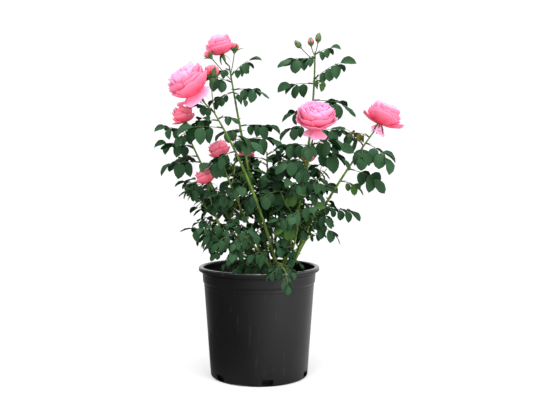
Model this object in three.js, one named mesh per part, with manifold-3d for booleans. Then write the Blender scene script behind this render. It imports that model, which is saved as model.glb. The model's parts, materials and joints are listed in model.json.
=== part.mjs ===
// A potted garden rose: thorny canes from one bud union, compound leaves of five leaflets, cupped
// double blooms and pointed buds, in a round three-gallon nursery container with a rolled lip.
// Units are millimetres, +Z is up, and the origin is on the ground under the middle of the pot.
// Azimuths are in degrees, 0 along +X, 90 along +Y; the plant's show side faces -Y.
import * as THREE from "three";
import { mergeVertices } from "three/addons/utils/BufferGeometryUtils.js";
import Module from "manifold-3d";

const wasm = await Module();
wasm.setup();

const V = (x, y, z) => new THREE.Vector3(x, y, z);
const UP = V(0, 0, 1);
const GAP = 0.35; // what touching pieces keep between them
const SIDES = 32; // flats round the pot and its soil

// ---------------------------------------------------------------- sizes of the pot and its filling
const POT = {
  height: 255,
  rim: 140, // outside radius of the rolled lip
  lip: 9.5, // height of the lip's outer face
  band: 132, // outside radius of the collar under the lip
  collar: 37, // from the top of the pot down to the collar's step
  shoulder: 128.2, // outside radius of the body just under that step
  foot: 113.5,
  heel: 6, // rounding between the wall and the floor
  wall: 2.5,
  floor: 4,
};
// Slots through the heel, and shallow arches under it: how deep each block reaches in, and from
// how high up.
const DRAIN = { count: 6, first: -80, wide: 25, tall: 14.5, depth: 16, from: 1.8 };
const FOOT_GAP = { count: 3, first: -110.5, wide: 49, tall: 5, depth: 26, from: -2.1 };
const SOIL = { top: 218, edge: 212, flat: 78 };
const CROWN = { at: V(42, -18, SOIL.top + GAP), radius: 25, height: 29 };

// ---------------------------------------------------------------- materials
const paint = (colour, roughness) =>
  new THREE.MeshStandardMaterial({ color: colour, roughness, metalness: 0 });
const PAINT = {
  pot: paint(0x2b2b2d, 0.45),
  soil: paint(0x2a1d14, 0.95),
  wood: paint(0x6b5a3a, 0.85),
  cane: paint(0x5f8a34, 0.55),
  leaf: paint(0x1f5236, 0.5),
  petals: paint(0xf58aa6, 0.6),
};

// ---------------------------------------------------------------- solids
// A closed three.js geometry as a solid, with its shared vertices merged.
function solid(geometry) {
  const bare = new THREE.BufferGeometry();
  const flat = geometry.index ? geometry.toNonIndexed() : geometry;
  bare.setAttribute("position", flat.getAttribute("position"));
  const merged = mergeVertices(bare, 1e-3);
  const faces = [];
  const index = merged.index.array;
  for (let i = 0; i < index.length; i += 3) {
    const [a, b, c] = index.slice(i, i + 3);
    if (a !== b && b !== c && c !== a) faces.push(a, b, c);
  }
  return new wasm.Manifold(
    new wasm.Mesh({
      numProp: 3,
      vertProperties: merged.attributes.position.array,
      triVerts: new Uint32Array(faces),
    }),
  );
}

const fuse = (pieces) => wasm.Manifold.union(pieces);

function geometryOf(body) {
  const mesh = body.simplify(0.03).getMesh();
  return new THREE.BufferGeometry()
    .setAttribute("position", new THREE.BufferAttribute(mesh.vertProperties, 3))
    .setIndex(new THREE.BufferAttribute(mesh.triVerts, 1));
}

// Turns a profile of [radius, height] points about the vertical axis.
function turned(profile, sides) {
  const points = profile.map(([r, z]) => new THREE.Vector2(r, z));
  return new THREE.LatheGeometry(points, sides).rotateX(Math.PI / 2);
}

// Moves each vertex of a geometry by a rule from its own place to a new one.
function reshape(geometry, rule) {
  const place = geometry.getAttribute("position");
  for (let i = 0; i < place.count; i++) {
    const moved = rule(place.getX(i), place.getY(i), place.getZ(i));
    place.setXYZ(i, moved.x, moved.y, moved.z);
  }
  return geometry;
}

const mix = (a, b, share) => a.clone().lerp(b, share);
const along = (azimuth, rise) => {
  const a = THREE.MathUtils.degToRad(azimuth);
  const e = THREE.MathUtils.degToRad(rise);
  return V(Math.cos(a) * Math.cos(e), Math.sin(a) * Math.cos(e), Math.sin(e));
};

// A number from 0 to 1 that is always the same for the same shoot, leaf and use.
function chance(shoot, leaf, use) {
  const mixed = Math.sin(shoot * 127.1 + leaf * 311.7 + use * 74.7) * 43758.5453;
  return mixed - Math.floor(mixed);
}
const vary = (low, high, ...keys) => low + (high - low) * chance(...keys);

// A tapering limb along a stretch of a path: a cylinder bent to it, with flat ends. Its sides stay
// the same way round, the first edge square to both the path and the guide.
function limb(path, [from, to], radius, [sides, steps], guide = V(0, 1, 0)) {
  const straight = new THREE.CylinderGeometry(1, 1, 1, sides, steps);
  return solid(
    reshape(straight, (x, y, z) => {
      const t = from + (to - from) * (y + 0.5);
      const tangent = path.getTangent(Math.min(t, 1));
      const side = guide.clone().cross(tangent).normalize();
      const other = tangent.clone().cross(side);
      const r = radius(t);
      return path.getPoint(t).addScaledVector(side, z * r).addScaledVector(other, x * r);
    }),
  );
}

// ---------------------------------------------------------------- pot, soil and bud union
const POT_WALL = [
  [0, 0],
  [POT.foot - POT.heel, 0],
  [POT.foot, POT.heel],
  [POT.shoulder, POT.height - POT.collar],
  [POT.band - 1.8, POT.height - POT.collar + 1.5],
  [POT.band, POT.height - POT.lip],
  [POT.rim, POT.height - POT.lip],
  [POT.rim, POT.height - 3],
  [POT.rim - 3, POT.height],
  [POT.band - POT.wall + 1, POT.height],
  [POT.band - POT.wall, POT.height - POT.lip],
  [POT.shoulder - POT.wall, POT.height - POT.collar - 3],
  [POT.foot - POT.wall - 0.5, POT.floor],
  [0, POT.floor],
];

// Blocks for the cuts round the heel, each one reaching in from outside the wall.
function heelCuts({ count, first, wide, tall, depth, from }) {
  return Array.from({ length: count }, (_, k) => {
    const block = new THREE.BoxGeometry(depth, wide, tall)
      .translate(POT.foot + 4 - depth / 2, 0, from + tall / 2)
      .rotateZ(THREE.MathUtils.degToRad(first + (k * 360) / count));
    return solid(block);
  });
}

const pot = solid(turned(POT_WALL, SIDES))
  .subtract(fuse(heelCuts(DRAIN)))
  .subtract(fuse(heelCuts(FOOT_GAP)));

// Radius of the soil at a height, just clear of the wall.
const WALL_SLOPE = (POT.shoulder - POT.foot) / (POT.height - POT.collar - POT.heel);
const soilEdge = (z) => POT.foot - POT.wall - 1 + WALL_SLOPE * (z - POT.heel);
const soil = solid(
  turned(
    [
      [0, POT.floor + GAP],
      [POT.foot - POT.wall - 7, POT.floor + GAP],
      [soilEdge(18) - 1.5, 18],
      [soilEdge(SOIL.edge) - 0.5, SOIL.edge],
      [SOIL.flat, SOIL.top],
      [0, SOIL.top],
    ],
    SIDES,
  ),
);

// The knobbly bud union that every cane springs from, grown by a margin when it is used to cut.
function budUnion(margin) {
  const lump = new THREE.IcosahedronGeometry(1, 1);
  const body = solid(
    reshape(lump, (x, y, z) => {
      const knob = 1 + 0.1 * Math.sin(4 * Math.atan2(y, x) + 3 * z);
      const r = CROWN.radius * knob + margin;
      return V(x * r, y * r, z * (CROWN.height + margin)).add(CROWN.at);
    }),
  );
  return margin > 0 ? body : body.trimByPlane([0, 0, 1], CROWN.at.z);
}
const crown = budUnion(0);
const crownRoom = budUnion(GAP + 0.3);

// ---------------------------------------------------------------- shoots
// from: azimuth where the cane leaves the bud union; bend and tip: the rest of its path;
// thick: radius at the foot; bare: how much of it is a cane of its own, 0 where its foliage begins
// at the bud union; pairs: pairs of leaflets on each leaf;
// leaves, phase, turn: how many leaves and how they go round the stem, counted down from the tip;
// reach: length of a whole leaf.
const SHOOTS = [
  { name: "front", from: [-72, 15], bend: V(0, -112, 445), tip: V(-99, -76, 605), thick: 4.2, bare: 0.7,
    leaves: 6, phase: 195, turn: 166, reach: 88, pairs: 2 },
  { name: "left_tall", from: [165, 58], bend: V(-30, 6, 480), tip: V(-68, -5, 715), thick: 4.4, bare: 0.5,
    leaves: 8, phase: 4, turn: 170, reach: 94, pairs: 2 },
  { name: "right_tall", from: [60, 58], bend: V(128, 20, 480), tip: V(130, 22, 752), thick: 4.6, bare: 0.5,
    leaves: 8, phase: -14, turn: 176, reach: 98, pairs: 2 },
  { name: "middle", from: [-10, 58], bend: V(95, -60, 400), tip: V(121, -55, 550), thick: 3.8, bare: 0.45,
    leaves: 7, phase: 150, turn: 160, reach: 96, pairs: 2 },
  { name: "right", from: [16, 15], bend: V(138, 0, 392), tip: V(268, -20, 573), thick: 4.2, bare: 0.5,
    leaves: 8, phase: 176, turn: 170, reach: 100, pairs: 2 },
  { name: "left", from: [188, 15], bend: V(-60, 0, 325), tip: V(-172, -38, 582), thick: 4.2, bare: 0.42,
    leaves: 7, phase: 170, turn: 164, reach: 96, pairs: 2 },
  { name: "centre", from: [118, 58], bend: V(22, 10, 400), tip: V(18, 16, 520), thick: 3.2, bare: 0.5,
    leaves: 5, phase: 10, turn: 150, reach: 96, pairs: 2 },
  { name: "inner_left", from: [215, 58], bend: V(-50, -50, 400), tip: V(-88, -40, 507), thick: 3.4, bare: 0.4,
    leaves: 5, phase: 90, turn: 150, reach: 88, pairs: 1 },
  { name: "low_left", from: [222, 12], bend: V(-92, -62, 290), tip: V(-115, -45, 447), thick: 3.4, bare: 0.35,
    leaves: 5, phase: 190, turn: 140, reach: 90, pairs: 1 },
  { name: "back_right", from: [70, 16], bend: V(80, 60, 380), tip: V(111, 90, 492), thick: 3.4, bare: 0.4,
    leaves: 5, phase: 40, turn: 138, reach: 96, pairs: 1 },
  { name: "back_left", from: [122, 16], bend: V(0, 60, 380), tip: V(-34, 70, 492), thick: 3.4, bare: 0.4,
    leaves: 5, phase: 150, turn: 138, reach: 96, pairs: 1 },
  { name: "far_left", from: [150, 12], bend: V(-70, 90, 300), tip: V(-112, 118, 430), thick: 3.4, bare: 0.3,
    leaves: 5, phase: 120, turn: 140, reach: 98, pairs: 1 },
  { name: "far_right", from: [46, 12], bend: V(110, 90, 300), tip: V(136, 102, 428), thick: 3.4, bare: 0.3,
    leaves: 5, phase: 10, turn: 140, reach: 98, pairs: 1 },
  { name: "far_middle", from: [95, 12], bend: V(40, 110, 270), tip: V(40, 140, 400), thick: 3.2, bare: 0.25,
    leaves: 5, phase: 80, turn: 140, reach: 96, pairs: 1 },
  { name: "low_front", from: [-98, 12], bend: V(10, -90, 300), tip: V(-38, -118, 340), thick: 2.8, bare: 0,
    leaves: 5, phase: 250, turn: 136, reach: 84, pairs: 1 },
  { name: "low_right", from: [-14, 12], bend: V(106, -30, 330), tip: V(134, -28, 396), thick: 3, bare: 0,
    leaves: 5, phase: 20, turn: 150, reach: 74, pairs: 1 },
  { name: "low_middle", from: [-42, 12], bend: V(80, -80, 300), tip: V(92, -95, 392), thick: 2.8, bare: 0,
    leaves: 5, phase: -70, turn: 138, reach: 88, pairs: 1 },
  { name: "side_left", from: [246, 12], bend: V(-40, -86, 292), tip: V(-92, -86, 342), thick: 2.8, bare: 0,
    leaves: 5, phase: 200, turn: 150, reach: 86, pairs: 1 },
  { name: "trailing", from: [-85, 2], bend: V(30, -132, 310), tip: V(58, -168, 262), thick: 2.2, bare: 0,
    leaves: 3, phase: 215, turn: 130, reach: 56, pairs: 1 },
];

const footOf = (shoot) => CROWN.at.clone().addScaledVector(along(...shoot.from), CROWN.radius - 4);
const pathOf = (shoot) => new THREE.QuadraticBezierCurve3(footOf(shoot), shoot.bend, shoot.tip);
const flatsOf = (shoot) => (shoot.pairs > 1 ? [5, 4] : [4, 3]); // flats and steps of a leafy stem
// A cane's radius falls to a slim tip.
const girth = (shoot) => (t) => 1.7 + (shoot.thick - 1.7) * Math.pow(Math.max(0, 1 - t), 0.7);

// ---------------------------------------------------------------- leaves
const LEAF = {
  stalk: 1.7, // radius of the leaf stalk at its foot
  sink: 0.3, // how far a leaflet's root goes past the middle of the stalk
  long: 0.46, // length of a leaflet, as a share of the whole leaf
  longest: 0.56, // the same where the leaf has only one pair
  wide: 0.82, // width of a leaflet, as a share of its length
  thick: 1.3,
  belly: 0.48, // how far along the leaflet it is widest
  fold: 0.06, // rise of the edges over the midrib, as a share of the length
  curl: 0.12, // fall of the tip, as a share of the length
};

// One leaflet: eight faces, widest below the middle, folded along its midrib.
function leaflet(base, direction, length) {
  const across = UP.clone().cross(direction).normalize();
  const up = direction.clone().cross(across);
  const belly = LEAF.belly * length;
  return solid(
    reshape(new THREE.OctahedronGeometry(1, 0), (x, y, z) => {
      const run = x > 0 ? belly + x * (length - belly) : belly + x * (belly + LEAF.sink);
      const lift = 0.5 * LEAF.thick * z + length * (LEAF.fold * Math.abs(y) - LEAF.curl * Math.max(x, 0));
      return base
        .clone()
        .addScaledVector(direction, run)
        .addScaledVector(across, 0.5 * LEAF.wide * length * y)
        .addScaledVector(up, lift);
    }),
  );
}

// Leaves that stand free of the crown, set one by one from the tip down: share of the shoot,
// azimuth, rise of the stalk at its foot, how much it falls on the way, reach.
const FREE_LEAVES = {
  front: [
    [0.99, 195, 50, 50, 56], [0.95, -25, 25, 45, 50], [0.94, 185, 8, 22, 62],
    [0.89, 205, 8, 16, 94], [0.81, -30, 12, 35, 80], [0.74, 210, -10, 25, 66],
  ],
  left_tall: [
    [0.98, 225, 5, 40, 42], [0.95, -15, 52, 32, 80], [0.92, 205, 20, 14, 80],
    [0.885, -14, 8, 22, 86], [0.875, 205, -16, 20, 76], [0.71, -10, 10, 24, 92],
    [0.69, 215, 5, 30, 66], [0.64, -20, 18, 36, 92],
  ],
  right_tall: [
    [0.99, -25, 30, 20, 60], [0.97, 200, 4, 14, 86], [0.88, -20, 42, 28, 102],
    [0.862, 200, 6, 12, 86], [0.79, -14, 2, 24, 96], [0.74, 195, 6, 26, 68],
    [0.68, 200, 0, 28, 76], [0.66, -12, 8, 24, 90],
  ],
  middle: [
    [0.96, -100, 0, 40, 66], [0.95, -14, 6, 18, 84], [0.93, 190, 16, 24, 80],
    [0.84, 205, 5, 30, 80], [0.78, -110, 5, 40, 66], [0.7, -100, 0, 35, 76], [0.6, 175, 5, 30, 86],
  ],
  right: [
    [0.94, 190, 35, 40, 48], [0.905, -50, -16, 30, 94], [0.885, -100, -10, 35, 78],
    [0.74, -15, -10, 26, 92], [0.66, -15, -2, 34, 58], [0.62, 185, 20, 40, 60],
    [0.485, -12, 0, 20, 90], [0.45, 200, 10, 30, 76],
  ],
  left: [
    [0.97, 185, 14, 14, 62], [0.955, 250, 5, 45, 56], [0.895, 172, 14, 14, 88],
    [0.885, 195, 26, 28, 70], [0.82, 205, 6, 20, 88], [0.8, -35, 10, 35, 62],
    [0.68, 192, 6, 18, 74],
  ],
  low_right: [
    [0.97, -30, 10, 25, 44], [0.9, -60, 0, 35, 70], [0.69, -12, -2, 36, 84],
    [0.66, 200, 10, 30, 70], [0.55, -100, 0, 35, 74],
  ],
  side_left: [
    [0.97, 185, 16, 14, 80], [0.92, 230, 0, 35, 66], [0.8, 165, 10, 30, 66],
    [0.72, 215, -10, 30, 66], [0.6, -110, 0, 35, 66],
  ],
  trailing: [
    [0.97, -80, -30, 30, 56], [0.9, 205, -10, 30, 48], [0.8, -40, -10, 35, 46],
  ],
};

// Where a leaf of a shoot's crown grows, which way and how big. It leaves its stem at a set angle,
// so a leaning stem holds the leaves under it low and those over it high.
const FIRST_LEAF = 0.2; // share of a short shoot below its lowest leaf
function crownLeaf(shoot, order, k) {
  const { radToDeg, degToRad } = THREE.MathUtils;
  const path = pathOf(shoot);
  const t = 1 - ((1 - Math.max(shoot.bare, FIRST_LEAF)) * (k + 0.35)) / shoot.leaves;
  const stem = path.getTangent(t);
  const out = along(shoot.phase + k * shoot.turn + vary(-14, 14, order, k, 1), 0).projectOnPlane(stem);
  const angle = degToRad(vary(46, 66, order, k, 3));
  const way = out.normalize().multiplyScalar(Math.sin(angle)).addScaledVector(stem, Math.cos(angle));
  return {
    t,
    azimuth: radToDeg(Math.atan2(way.y, way.x)),
    rise: Math.min(58, radToDeg(Math.asin(way.z))),
    fall: vary(18, 40, order, k, 4),
    reach: shoot.reach * Math.min(1, 0.86 + 0.07 * k) * vary(0.9, 1.12, order, k, 2),
  };
}

function leavesOf(shoot, order) {
  const path = pathOf(shoot);
  const free = FREE_LEAVES[shoot.name];
  return Array.from({ length: shoot.leaves }, (_, k) => {
    if (!free) return crownLeaf(shoot, order, k);
    const [t, azimuth, rise, fall, reach] = free[k];
    return { t, azimuth, rise, fall, reach };
  }).map((leaf, k) => ({ ...leaf, key: [order, k], start: path.getPoint(leaf.t), pairs: shoot.pairs }));
}

// A whole leaf: an arching three-sided stalk, an end leaflet and one or two pairs beside it. With
// one pair the leaflets are the larger. Leaflets on the show side hang steeper than those behind.
function compoundLeaf({ key, start, azimuth, reach, rise, fall, pairs }) {
  const middle = start.clone().addScaledVector(along(azimuth, rise), 0.42 * reach);
  const end = middle.clone().addScaledVector(along(azimuth, rise - fall), 0.28 * reach);
  const path = new THREE.QuadraticBezierCurve3(start, middle, end);
  const girthAt = (t) => LEAF.stalk * (1 - 0.35 * t);
  const stalk = limb(path, [0, 1], girthAt, [3, pairs], along(azimuth + 90, 0));
  const elbow = pairs > 1 ? path.getPoint(0.5) : mix(start, end, 0.5);
  const root = (t) => (t > 0.5 ? mix(elbow, end, 2 * t - 1) : mix(start, elbow, 2 * t));
  const size = reach * (pairs > 1 ? LEAF.long : LEAF.longest);
  const blades = [leaflet(root(0.97), along(azimuth, rise - fall - 12), size)];
  (pairs > 1 ? [0.76, 0.4] : [0.6]).forEach((t, pair) => {
    for (const hand of [-1, 1]) {
      const swing = hand * vary(48, 68, ...key, 10 + pair);
      const shown = -Math.sin(THREE.MathUtils.degToRad(azimuth + swing));
      const droop = vary(26, 42, ...key, 20 + hand) + 28 * shown + 5 * pair;
      blades.push(leaflet(root(t), along(azimuth + swing, -droop), size * (0.95 - 0.13 * pair)));
    }
  });
  return { stalk, blades };
}

// ---------------------------------------------------------------- blooms and buds
// at: where the calyx sits; face: [azimuth, rise] the flower looks; size: across the open flower;
// depth: how tall its cup is; open: how far the outer petals lean out; shoot: the stem it ends;
// fallen: petals that have left the cup, each [turn round the flower, lean, cup, length as a share
// of the ball, half spread, how far up the flower it starts].
const BLOOMS = [
  { name: "great_left", at: V(-136, -82, 646), face: [200, 52], size: 96,
    depth: 1.38, open: 6, shoot: "front",
    fallen: [[-90, 70, 46, 1.7, 0.6, 0.55], [196, 16, 66, 1.8, 0.6, 0]] },
  { name: "great_middle", at: V(127, -60, 575), face: [-90, 60], size: 96,
    depth: 1.15, open: 4, shoot: "middle",
    fallen: [[-74, 46, 30, 1.2, 0.62, 0.15], [-122, 48, 30, 1.05, 0.6, 0.15]] },
  { name: "great_right", at: V(276, -20, 583), face: [16, 66], size: 82,
    depth: 1.2, open: 6, shoot: "right",
    fallen: [[178, 12, 58, 1.7, 0.46, 0], [-4, 8, 50, 1.9, 0.46, 0],
      [-130, 84, 34, 1, 0.6, 0.2], [-50, 84, 34, 1.2, 0.6, 0.2]] },
  { name: "top_left", at: V(-85, -5, 742), face: [178, 74], size: 66,
    depth: 1.35, open: 6, shoot: "left_tall" },
  { name: "half_open", at: V(-166, -39, 585), face: [178, 76], size: 54,
    depth: 1.4, open: 6, shoot: "left",
    fallen: [[215, 30, 60, 1.8, 0.7, 0.15]] },
  { name: "nodding", at: V(-83, -41, 508), face: [185, 66], size: 54,
    depth: 1.4, open: 6, shoot: "inner_left" },
  { name: "low_left", at: V(-114, -50, 449), face: [170, 66], size: 50,
    depth: 1.4, open: 6, shoot: "low_left" },
  { name: "back_right", at: V(111, 90, 499), face: [-60, 62], size: 46,
    depth: 1.4, open: 3, shoot: "back_right" },
  { name: "back_left", at: V(-34, 70, 499), face: [-60, 60], size: 44,
    depth: 1.4, open: 3, shoot: "back_left" },
];
const BUDS = [
  { at: V(-104, -62, 681), azimuth: 0, rise: 86, size: 37, shoot: "front", from: 0.98 },
  { at: V(-56, -5, 749), azimuth: 20, rise: 84, size: 23, shoot: "left_tall", from: 0.96 },
  { at: V(-109, -22, 733), azimuth: 185, rise: 50, size: 22, shoot: "left_tall", from: 0.93 },
  { at: V(137, 22, 776), azimuth: 10, rise: 84, size: 19, shoot: "right_tall", from: 0.99 },
  { at: V(121, 22, 768), azimuth: 185, rise: 84, size: 20, shoot: "right_tall", from: 0.98 },
  { at: V(95, 15, 762), azimuth: 175, rise: 50, size: 18, shoot: "right_tall", from: 0.96 },
];
const PETAL = { thick: 1.5, span: 0.6, cup: 86, guard: 1.24, tall: 0.84 };

// Turns a body built upright at the origin to look along a direction from a place.
function seat(geometry, at, azimuth, rise) {
  const turn = new THREE.Quaternion().setFromUnitVectors(UP, along(azimuth, rise));
  return geometry.applyQuaternion(turn).translate(at.x, at.y, at.z);
}

// A cupped petal: a thin shell on a ball that stands on the calyx, stretched upward and leaned out.
function petal({ turn, lean, cup, span, ball, tall }, detail) {
  const { degToRad } = THREE.MathUtils;
  const shape = reshape(new THREE.OctahedronGeometry(1, detail), (x, y, z) => {
    const rise = degToRad(0.5 * (y + 1) * cup);
    const shell = ball + 0.5 * PETAL.thick * z;
    const out = shell * Math.sin(rise);
    return V(Math.cos(x * span) * out, Math.sin(x * span) * out, tall * (ball - shell * Math.cos(rise)));
  });
  return shape.rotateY(degToRad(lean)).rotateZ(degToRad(turn));
}

// A bloom: a packed, pleated heart in a cup of five guard petals on a calyx, and the petals that
// have fallen open.
function bloomBody({ at, face, size, depth, open, fallen = [] }) {
  const ball = 0.36 * size;
  const heart = reshape(new THREE.SphereGeometry(1, 8, 4), (x, y, z) => {
    const pleat = ball * (0.9 + 0.06 * Math.cos(4 * Math.atan2(z, x)));
    return V(x * pleat, z * pleat, ball * depth * (0.68 - 0.64 * y));
  });
  const parts = [heart, turned([[0, -5], [4.5, -4], [6, 0], [4, 5], [0, 6]], 6)];
  const guard = { lean: open, cup: PETAL.cup, span: PETAL.span, ball: PETAL.guard * ball };
  for (let k = 0; k < 5; k++) {
    parts.push(petal({ ...guard, turn: 72 * k + 36, tall: PETAL.tall * depth }, size > 90 ? 1 : 0));
  }
  for (const [turn, lean, cup, long, span, start] of fallen) {
    const radius = (long * ball) / THREE.MathUtils.degToRad(cup);
    const shape = petal({ turn, lean, cup, span, ball: radius, tall: 1 }, 0);
    parts.push(shape.translate(0, 0, start * ball));
  }
  return fuse(parts.map((part) => solid(seat(part, at, ...face))));
}

// A pointed bud with its sepals wrapped round it.
function budBody({ at, azimuth, rise, size }) {
  const r = 0.36 * size;
  const outline = [[0, -1], [0.55 * r, 0], [r, 0.3 * size], [0.8 * r, 0.62 * size], [0, size]];
  return solid(seat(turned(outline, 6), at, azimuth, rise));
}

// The slim stalk from a shoot to a bloom or bud, bending to meet it from below.
function pedicel({ at, azimuth, rise, shoot, from = 1 }, radius) {
  const owner = SHOOTS.find(({ name }) => name === shoot);
  const start = pathOf(owner).getPoint(from);
  const bend = at.clone().addScaledVector(along(azimuth, rise), -0.45 * start.distanceTo(at));
  const path = new THREE.QuadraticBezierCurve3(start, bend, at);
  return limb(path, [0, 1], () => radius, [4, 2]);
}

// ---------------------------------------------------------------- assembly
const group = new THREE.Group();
group.name = "potted_rose";
function add(name, body, material) {
  const mesh = new THREE.Mesh(geometryOf(body), material.clone());
  mesh.name = name;
  group.add(mesh);
}

// The largest piece of a body, without loose scraps.
function main(body) {
  const pieces = body.decompose().sort((a, b) => b.volume() - a.volume());
  return pieces[0];
}

const boxesMeet = (a, b, room) =>
  [0, 1, 2].every((i) => a.min[i] - room < b.max[i] && b.min[i] - room < a.max[i]);
const NEAR = 0.45;
const touches = (body, others) => {
  const box = body.boundingBox();
  return others.some((other) => boxesMeet(box, other.box, NEAR) && body.minGap(other.body, NEAR) < NEAR);
};
const placed = (body) => ({ body, box: body.boundingBox() });

const rigid = [placed(pot), placed(soil), placed(crown)];
add("pot", pot, PAINT.pot);
add("soil", soil, PAINT.soil);
add("bud_union", crown, PAINT.wood);

// Canes: each one bare limb from the bud union up to its foliage.
const canes = SHOOTS.filter(({ bare }) => bare > 0).map((shoot) => {
  const cane = main(limb(pathOf(shoot), [0, shoot.bare], girth(shoot), [6, 4]).subtract(crownRoom));
  add(`cane_${shoot.name}`, cane, PAINT.cane);
  return cane;
});
rigid.push(...canes.map(placed));

// Stems that go on from the canes through the foliage, with the small buds at their tips.
const stems = SHOOTS.map((shoot) => {
  const path = pathOf(shoot);
  const start = shoot.bare > 0 ? shoot.bare + GAP / path.getLength() : 0;
  const pieces = [limb(path, [start, 1], girth(shoot), flatsOf(shoot))];
  BUDS.filter((bud) => bud.shoot === shoot.name).forEach((bud) => {
    pieces.push(budBody(bud), pedicel(bud, 1.3));
  });
  return main(fuse(pieces).subtract(crownRoom));
});
const stemRoom = (shoot) => {
  const path = pathOf(shoot);
  const end = 1 + (GAP + 0.35) / path.getLength();
  return limb(path, [shoot.bare, end], (t) => girth(shoot)(t) + GAP + 0.3, flatsOf(shoot));
};

// Blooms, each one with its pedicel cut clear of the stem it leaves.
BLOOMS.forEach((bloom) => {
  const [azimuth, rise] = bloom.face;
  const owner = SHOOTS.find(({ name }) => name === bloom.shoot);
  const stalk = pedicel({ ...bloom, azimuth, rise }, 2);
  const body = main(fuse([bloomBody(bloom), stalk]).subtract(stemRoom(owner)));
  add(`bloom_${bloom.name}`, body, PAINT.petals);
  rigid.push(placed(body));
});
// Foliage: leaves that would touch anything already there are left out.
const leafy = [];
SHOOTS.forEach((shoot, k) => {
  const own = [];
  const others = [...rigid, ...stems.filter((_, j) => j !== k).map(placed), ...leafy];
  for (const leaf of leavesOf(shoot, k)) {
    const { stalk, blades } = compoundLeaf(leaf);
    if (touches(stalk, others)) continue;
    const kept = blades.filter((blade) => !touches(blade, [...others, ...own.map(placed)]));
    own.push(stalk, ...kept);
  }
  leafy.push(...own.map(placed));
  add(`foliage_${shoot.name}`, main(fuse([stems[k], ...own])), PAINT.leaf);
});

export default group;
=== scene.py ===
# A garden rose in bloom in a black nursery pot: canes, leaves, buds and double blooms, all grown
# by one seeded rule. Metres, +Z up, the plant's show side faces -Y; azimuths and rises in degrees.
import json
import math
from collections import namedtuple

import bpy
import numpy as np
from mathutils import Euler, Matrix, Quaternion, Vector, noise

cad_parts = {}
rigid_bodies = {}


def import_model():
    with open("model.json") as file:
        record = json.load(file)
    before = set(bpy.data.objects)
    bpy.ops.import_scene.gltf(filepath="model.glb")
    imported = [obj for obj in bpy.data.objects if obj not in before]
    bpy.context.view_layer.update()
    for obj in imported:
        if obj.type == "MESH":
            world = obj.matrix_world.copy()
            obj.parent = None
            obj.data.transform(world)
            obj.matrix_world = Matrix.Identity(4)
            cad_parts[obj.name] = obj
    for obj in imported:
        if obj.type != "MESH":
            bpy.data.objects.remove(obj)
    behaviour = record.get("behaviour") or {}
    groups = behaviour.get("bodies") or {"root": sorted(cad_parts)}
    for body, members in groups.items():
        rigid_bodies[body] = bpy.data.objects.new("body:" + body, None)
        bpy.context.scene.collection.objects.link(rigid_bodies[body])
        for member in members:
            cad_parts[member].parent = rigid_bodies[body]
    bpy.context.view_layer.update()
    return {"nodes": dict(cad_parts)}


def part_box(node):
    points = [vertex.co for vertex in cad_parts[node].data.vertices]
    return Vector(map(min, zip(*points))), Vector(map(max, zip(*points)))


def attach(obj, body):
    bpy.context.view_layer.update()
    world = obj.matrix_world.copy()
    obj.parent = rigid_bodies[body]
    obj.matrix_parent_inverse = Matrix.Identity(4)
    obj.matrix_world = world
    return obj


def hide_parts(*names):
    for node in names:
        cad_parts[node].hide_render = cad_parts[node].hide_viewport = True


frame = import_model()
scene = bpy.context.scene
nodes = sorted(frame["nodes"])

# ------------------------------------------------------------------ nursery pot
# The container: injection-moulded black polypropylene with a rolled lip, a stepped collar, drain
# slots through the heel and shallow arches under it. It is a lathe form with the slots cut out.
POT_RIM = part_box("pot")[1][0]
POT_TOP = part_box("pot")[1][2]
POT_FOOT = 0.1135
POT_BAND = 0.132
POT_SHOULDER = 0.1282
POT_STEP = POT_TOP - 0.037
POT_WALL = 0.0025
POT_FLOOR = 0.004
POT_SIDES = 144
HEEL_ROUND = 0.006
LIP_TALL = 0.0095
LIP_ROUND = 0.0034
LIP_EDGE = 0.0012
LIP_HIGHLIGHT_BAND = 0.005
# Width, foot, top, depth and corner radius of a drain slot, and of an arch under the heel.
DRAIN_SLOT = (0.025, 0.0018, 0.0163, 0.016, 0.003)
FOOT_ARCH = (0.049, -0.002, 0.0029, 0.026, 0.0012)


def arc(middle, radius, start, end, steps):
    """Points of a circle's arc in a lathe profile, as radius and height."""
    angles = [math.radians(start + (end - start) * k / steps) for k in range(steps + 1)]
    return [(middle[0] + radius * math.cos(a), middle[1] + radius * math.sin(a)) for a in angles]


def bead(radius_at, height, proud, tall):
    """A fine moulded line that runs round the wall."""
    points = []
    for share in (0, 0.25, 0.5, 0.75, 1):
        level = height + tall * (share - 0.5)
        points.append((radius_at(level) + proud * math.sin(math.pi * share), level))
    return points


def mesh_of(name, corners, faces, smooth=True):
    """A mesh from its corners and its faces."""
    mesh = bpy.data.meshes.new(name)
    mesh.from_pydata([tuple(corner) for corner in corners], [], faces)
    if smooth:
        mesh.shade_smooth()
    return mesh


def piece_of(name, data):
    """An object for a mesh, a camera or a lamp, in the scene and at its origin."""
    made = bpy.data.objects.new(name, data)
    scene.collection.objects.link(made)
    return made


def turned(name, profile, sides):
    """A closed mesh made by turning a profile that starts and ends on the axis."""
    rings = profile[1:-1]
    corners = [(0, 0, profile[0][1])]
    for radius, height in rings:
        for k in range(sides):
            a = 2 * math.pi * k / sides
            corners.append((radius * math.cos(a), radius * math.sin(a), height))
    corners.append((0, 0, profile[-1][1]))
    faces = []
    last = len(corners) - 1
    for k in range(sides):
        after = (k + 1) % sides
        faces.append((0, 1 + after, 1 + k))
        for ring in range(len(rings) - 1):
            low, high = 1 + ring * sides, 1 + (ring + 1) * sides
            faces.append((low + k, low + after, high + after, high + k))
        faces.append((last - sides + k, last - sides + after, last))
    return mesh_of(name, corners, faces)


def body_radius(height):
    """Outside radius of the tapering body, from the heel up to the collar's step."""
    return POT_FOOT + (POT_SHOULDER - POT_FOOT) * (height - HEEL_ROUND) / (POT_STEP - HEEL_ROUND)


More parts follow.
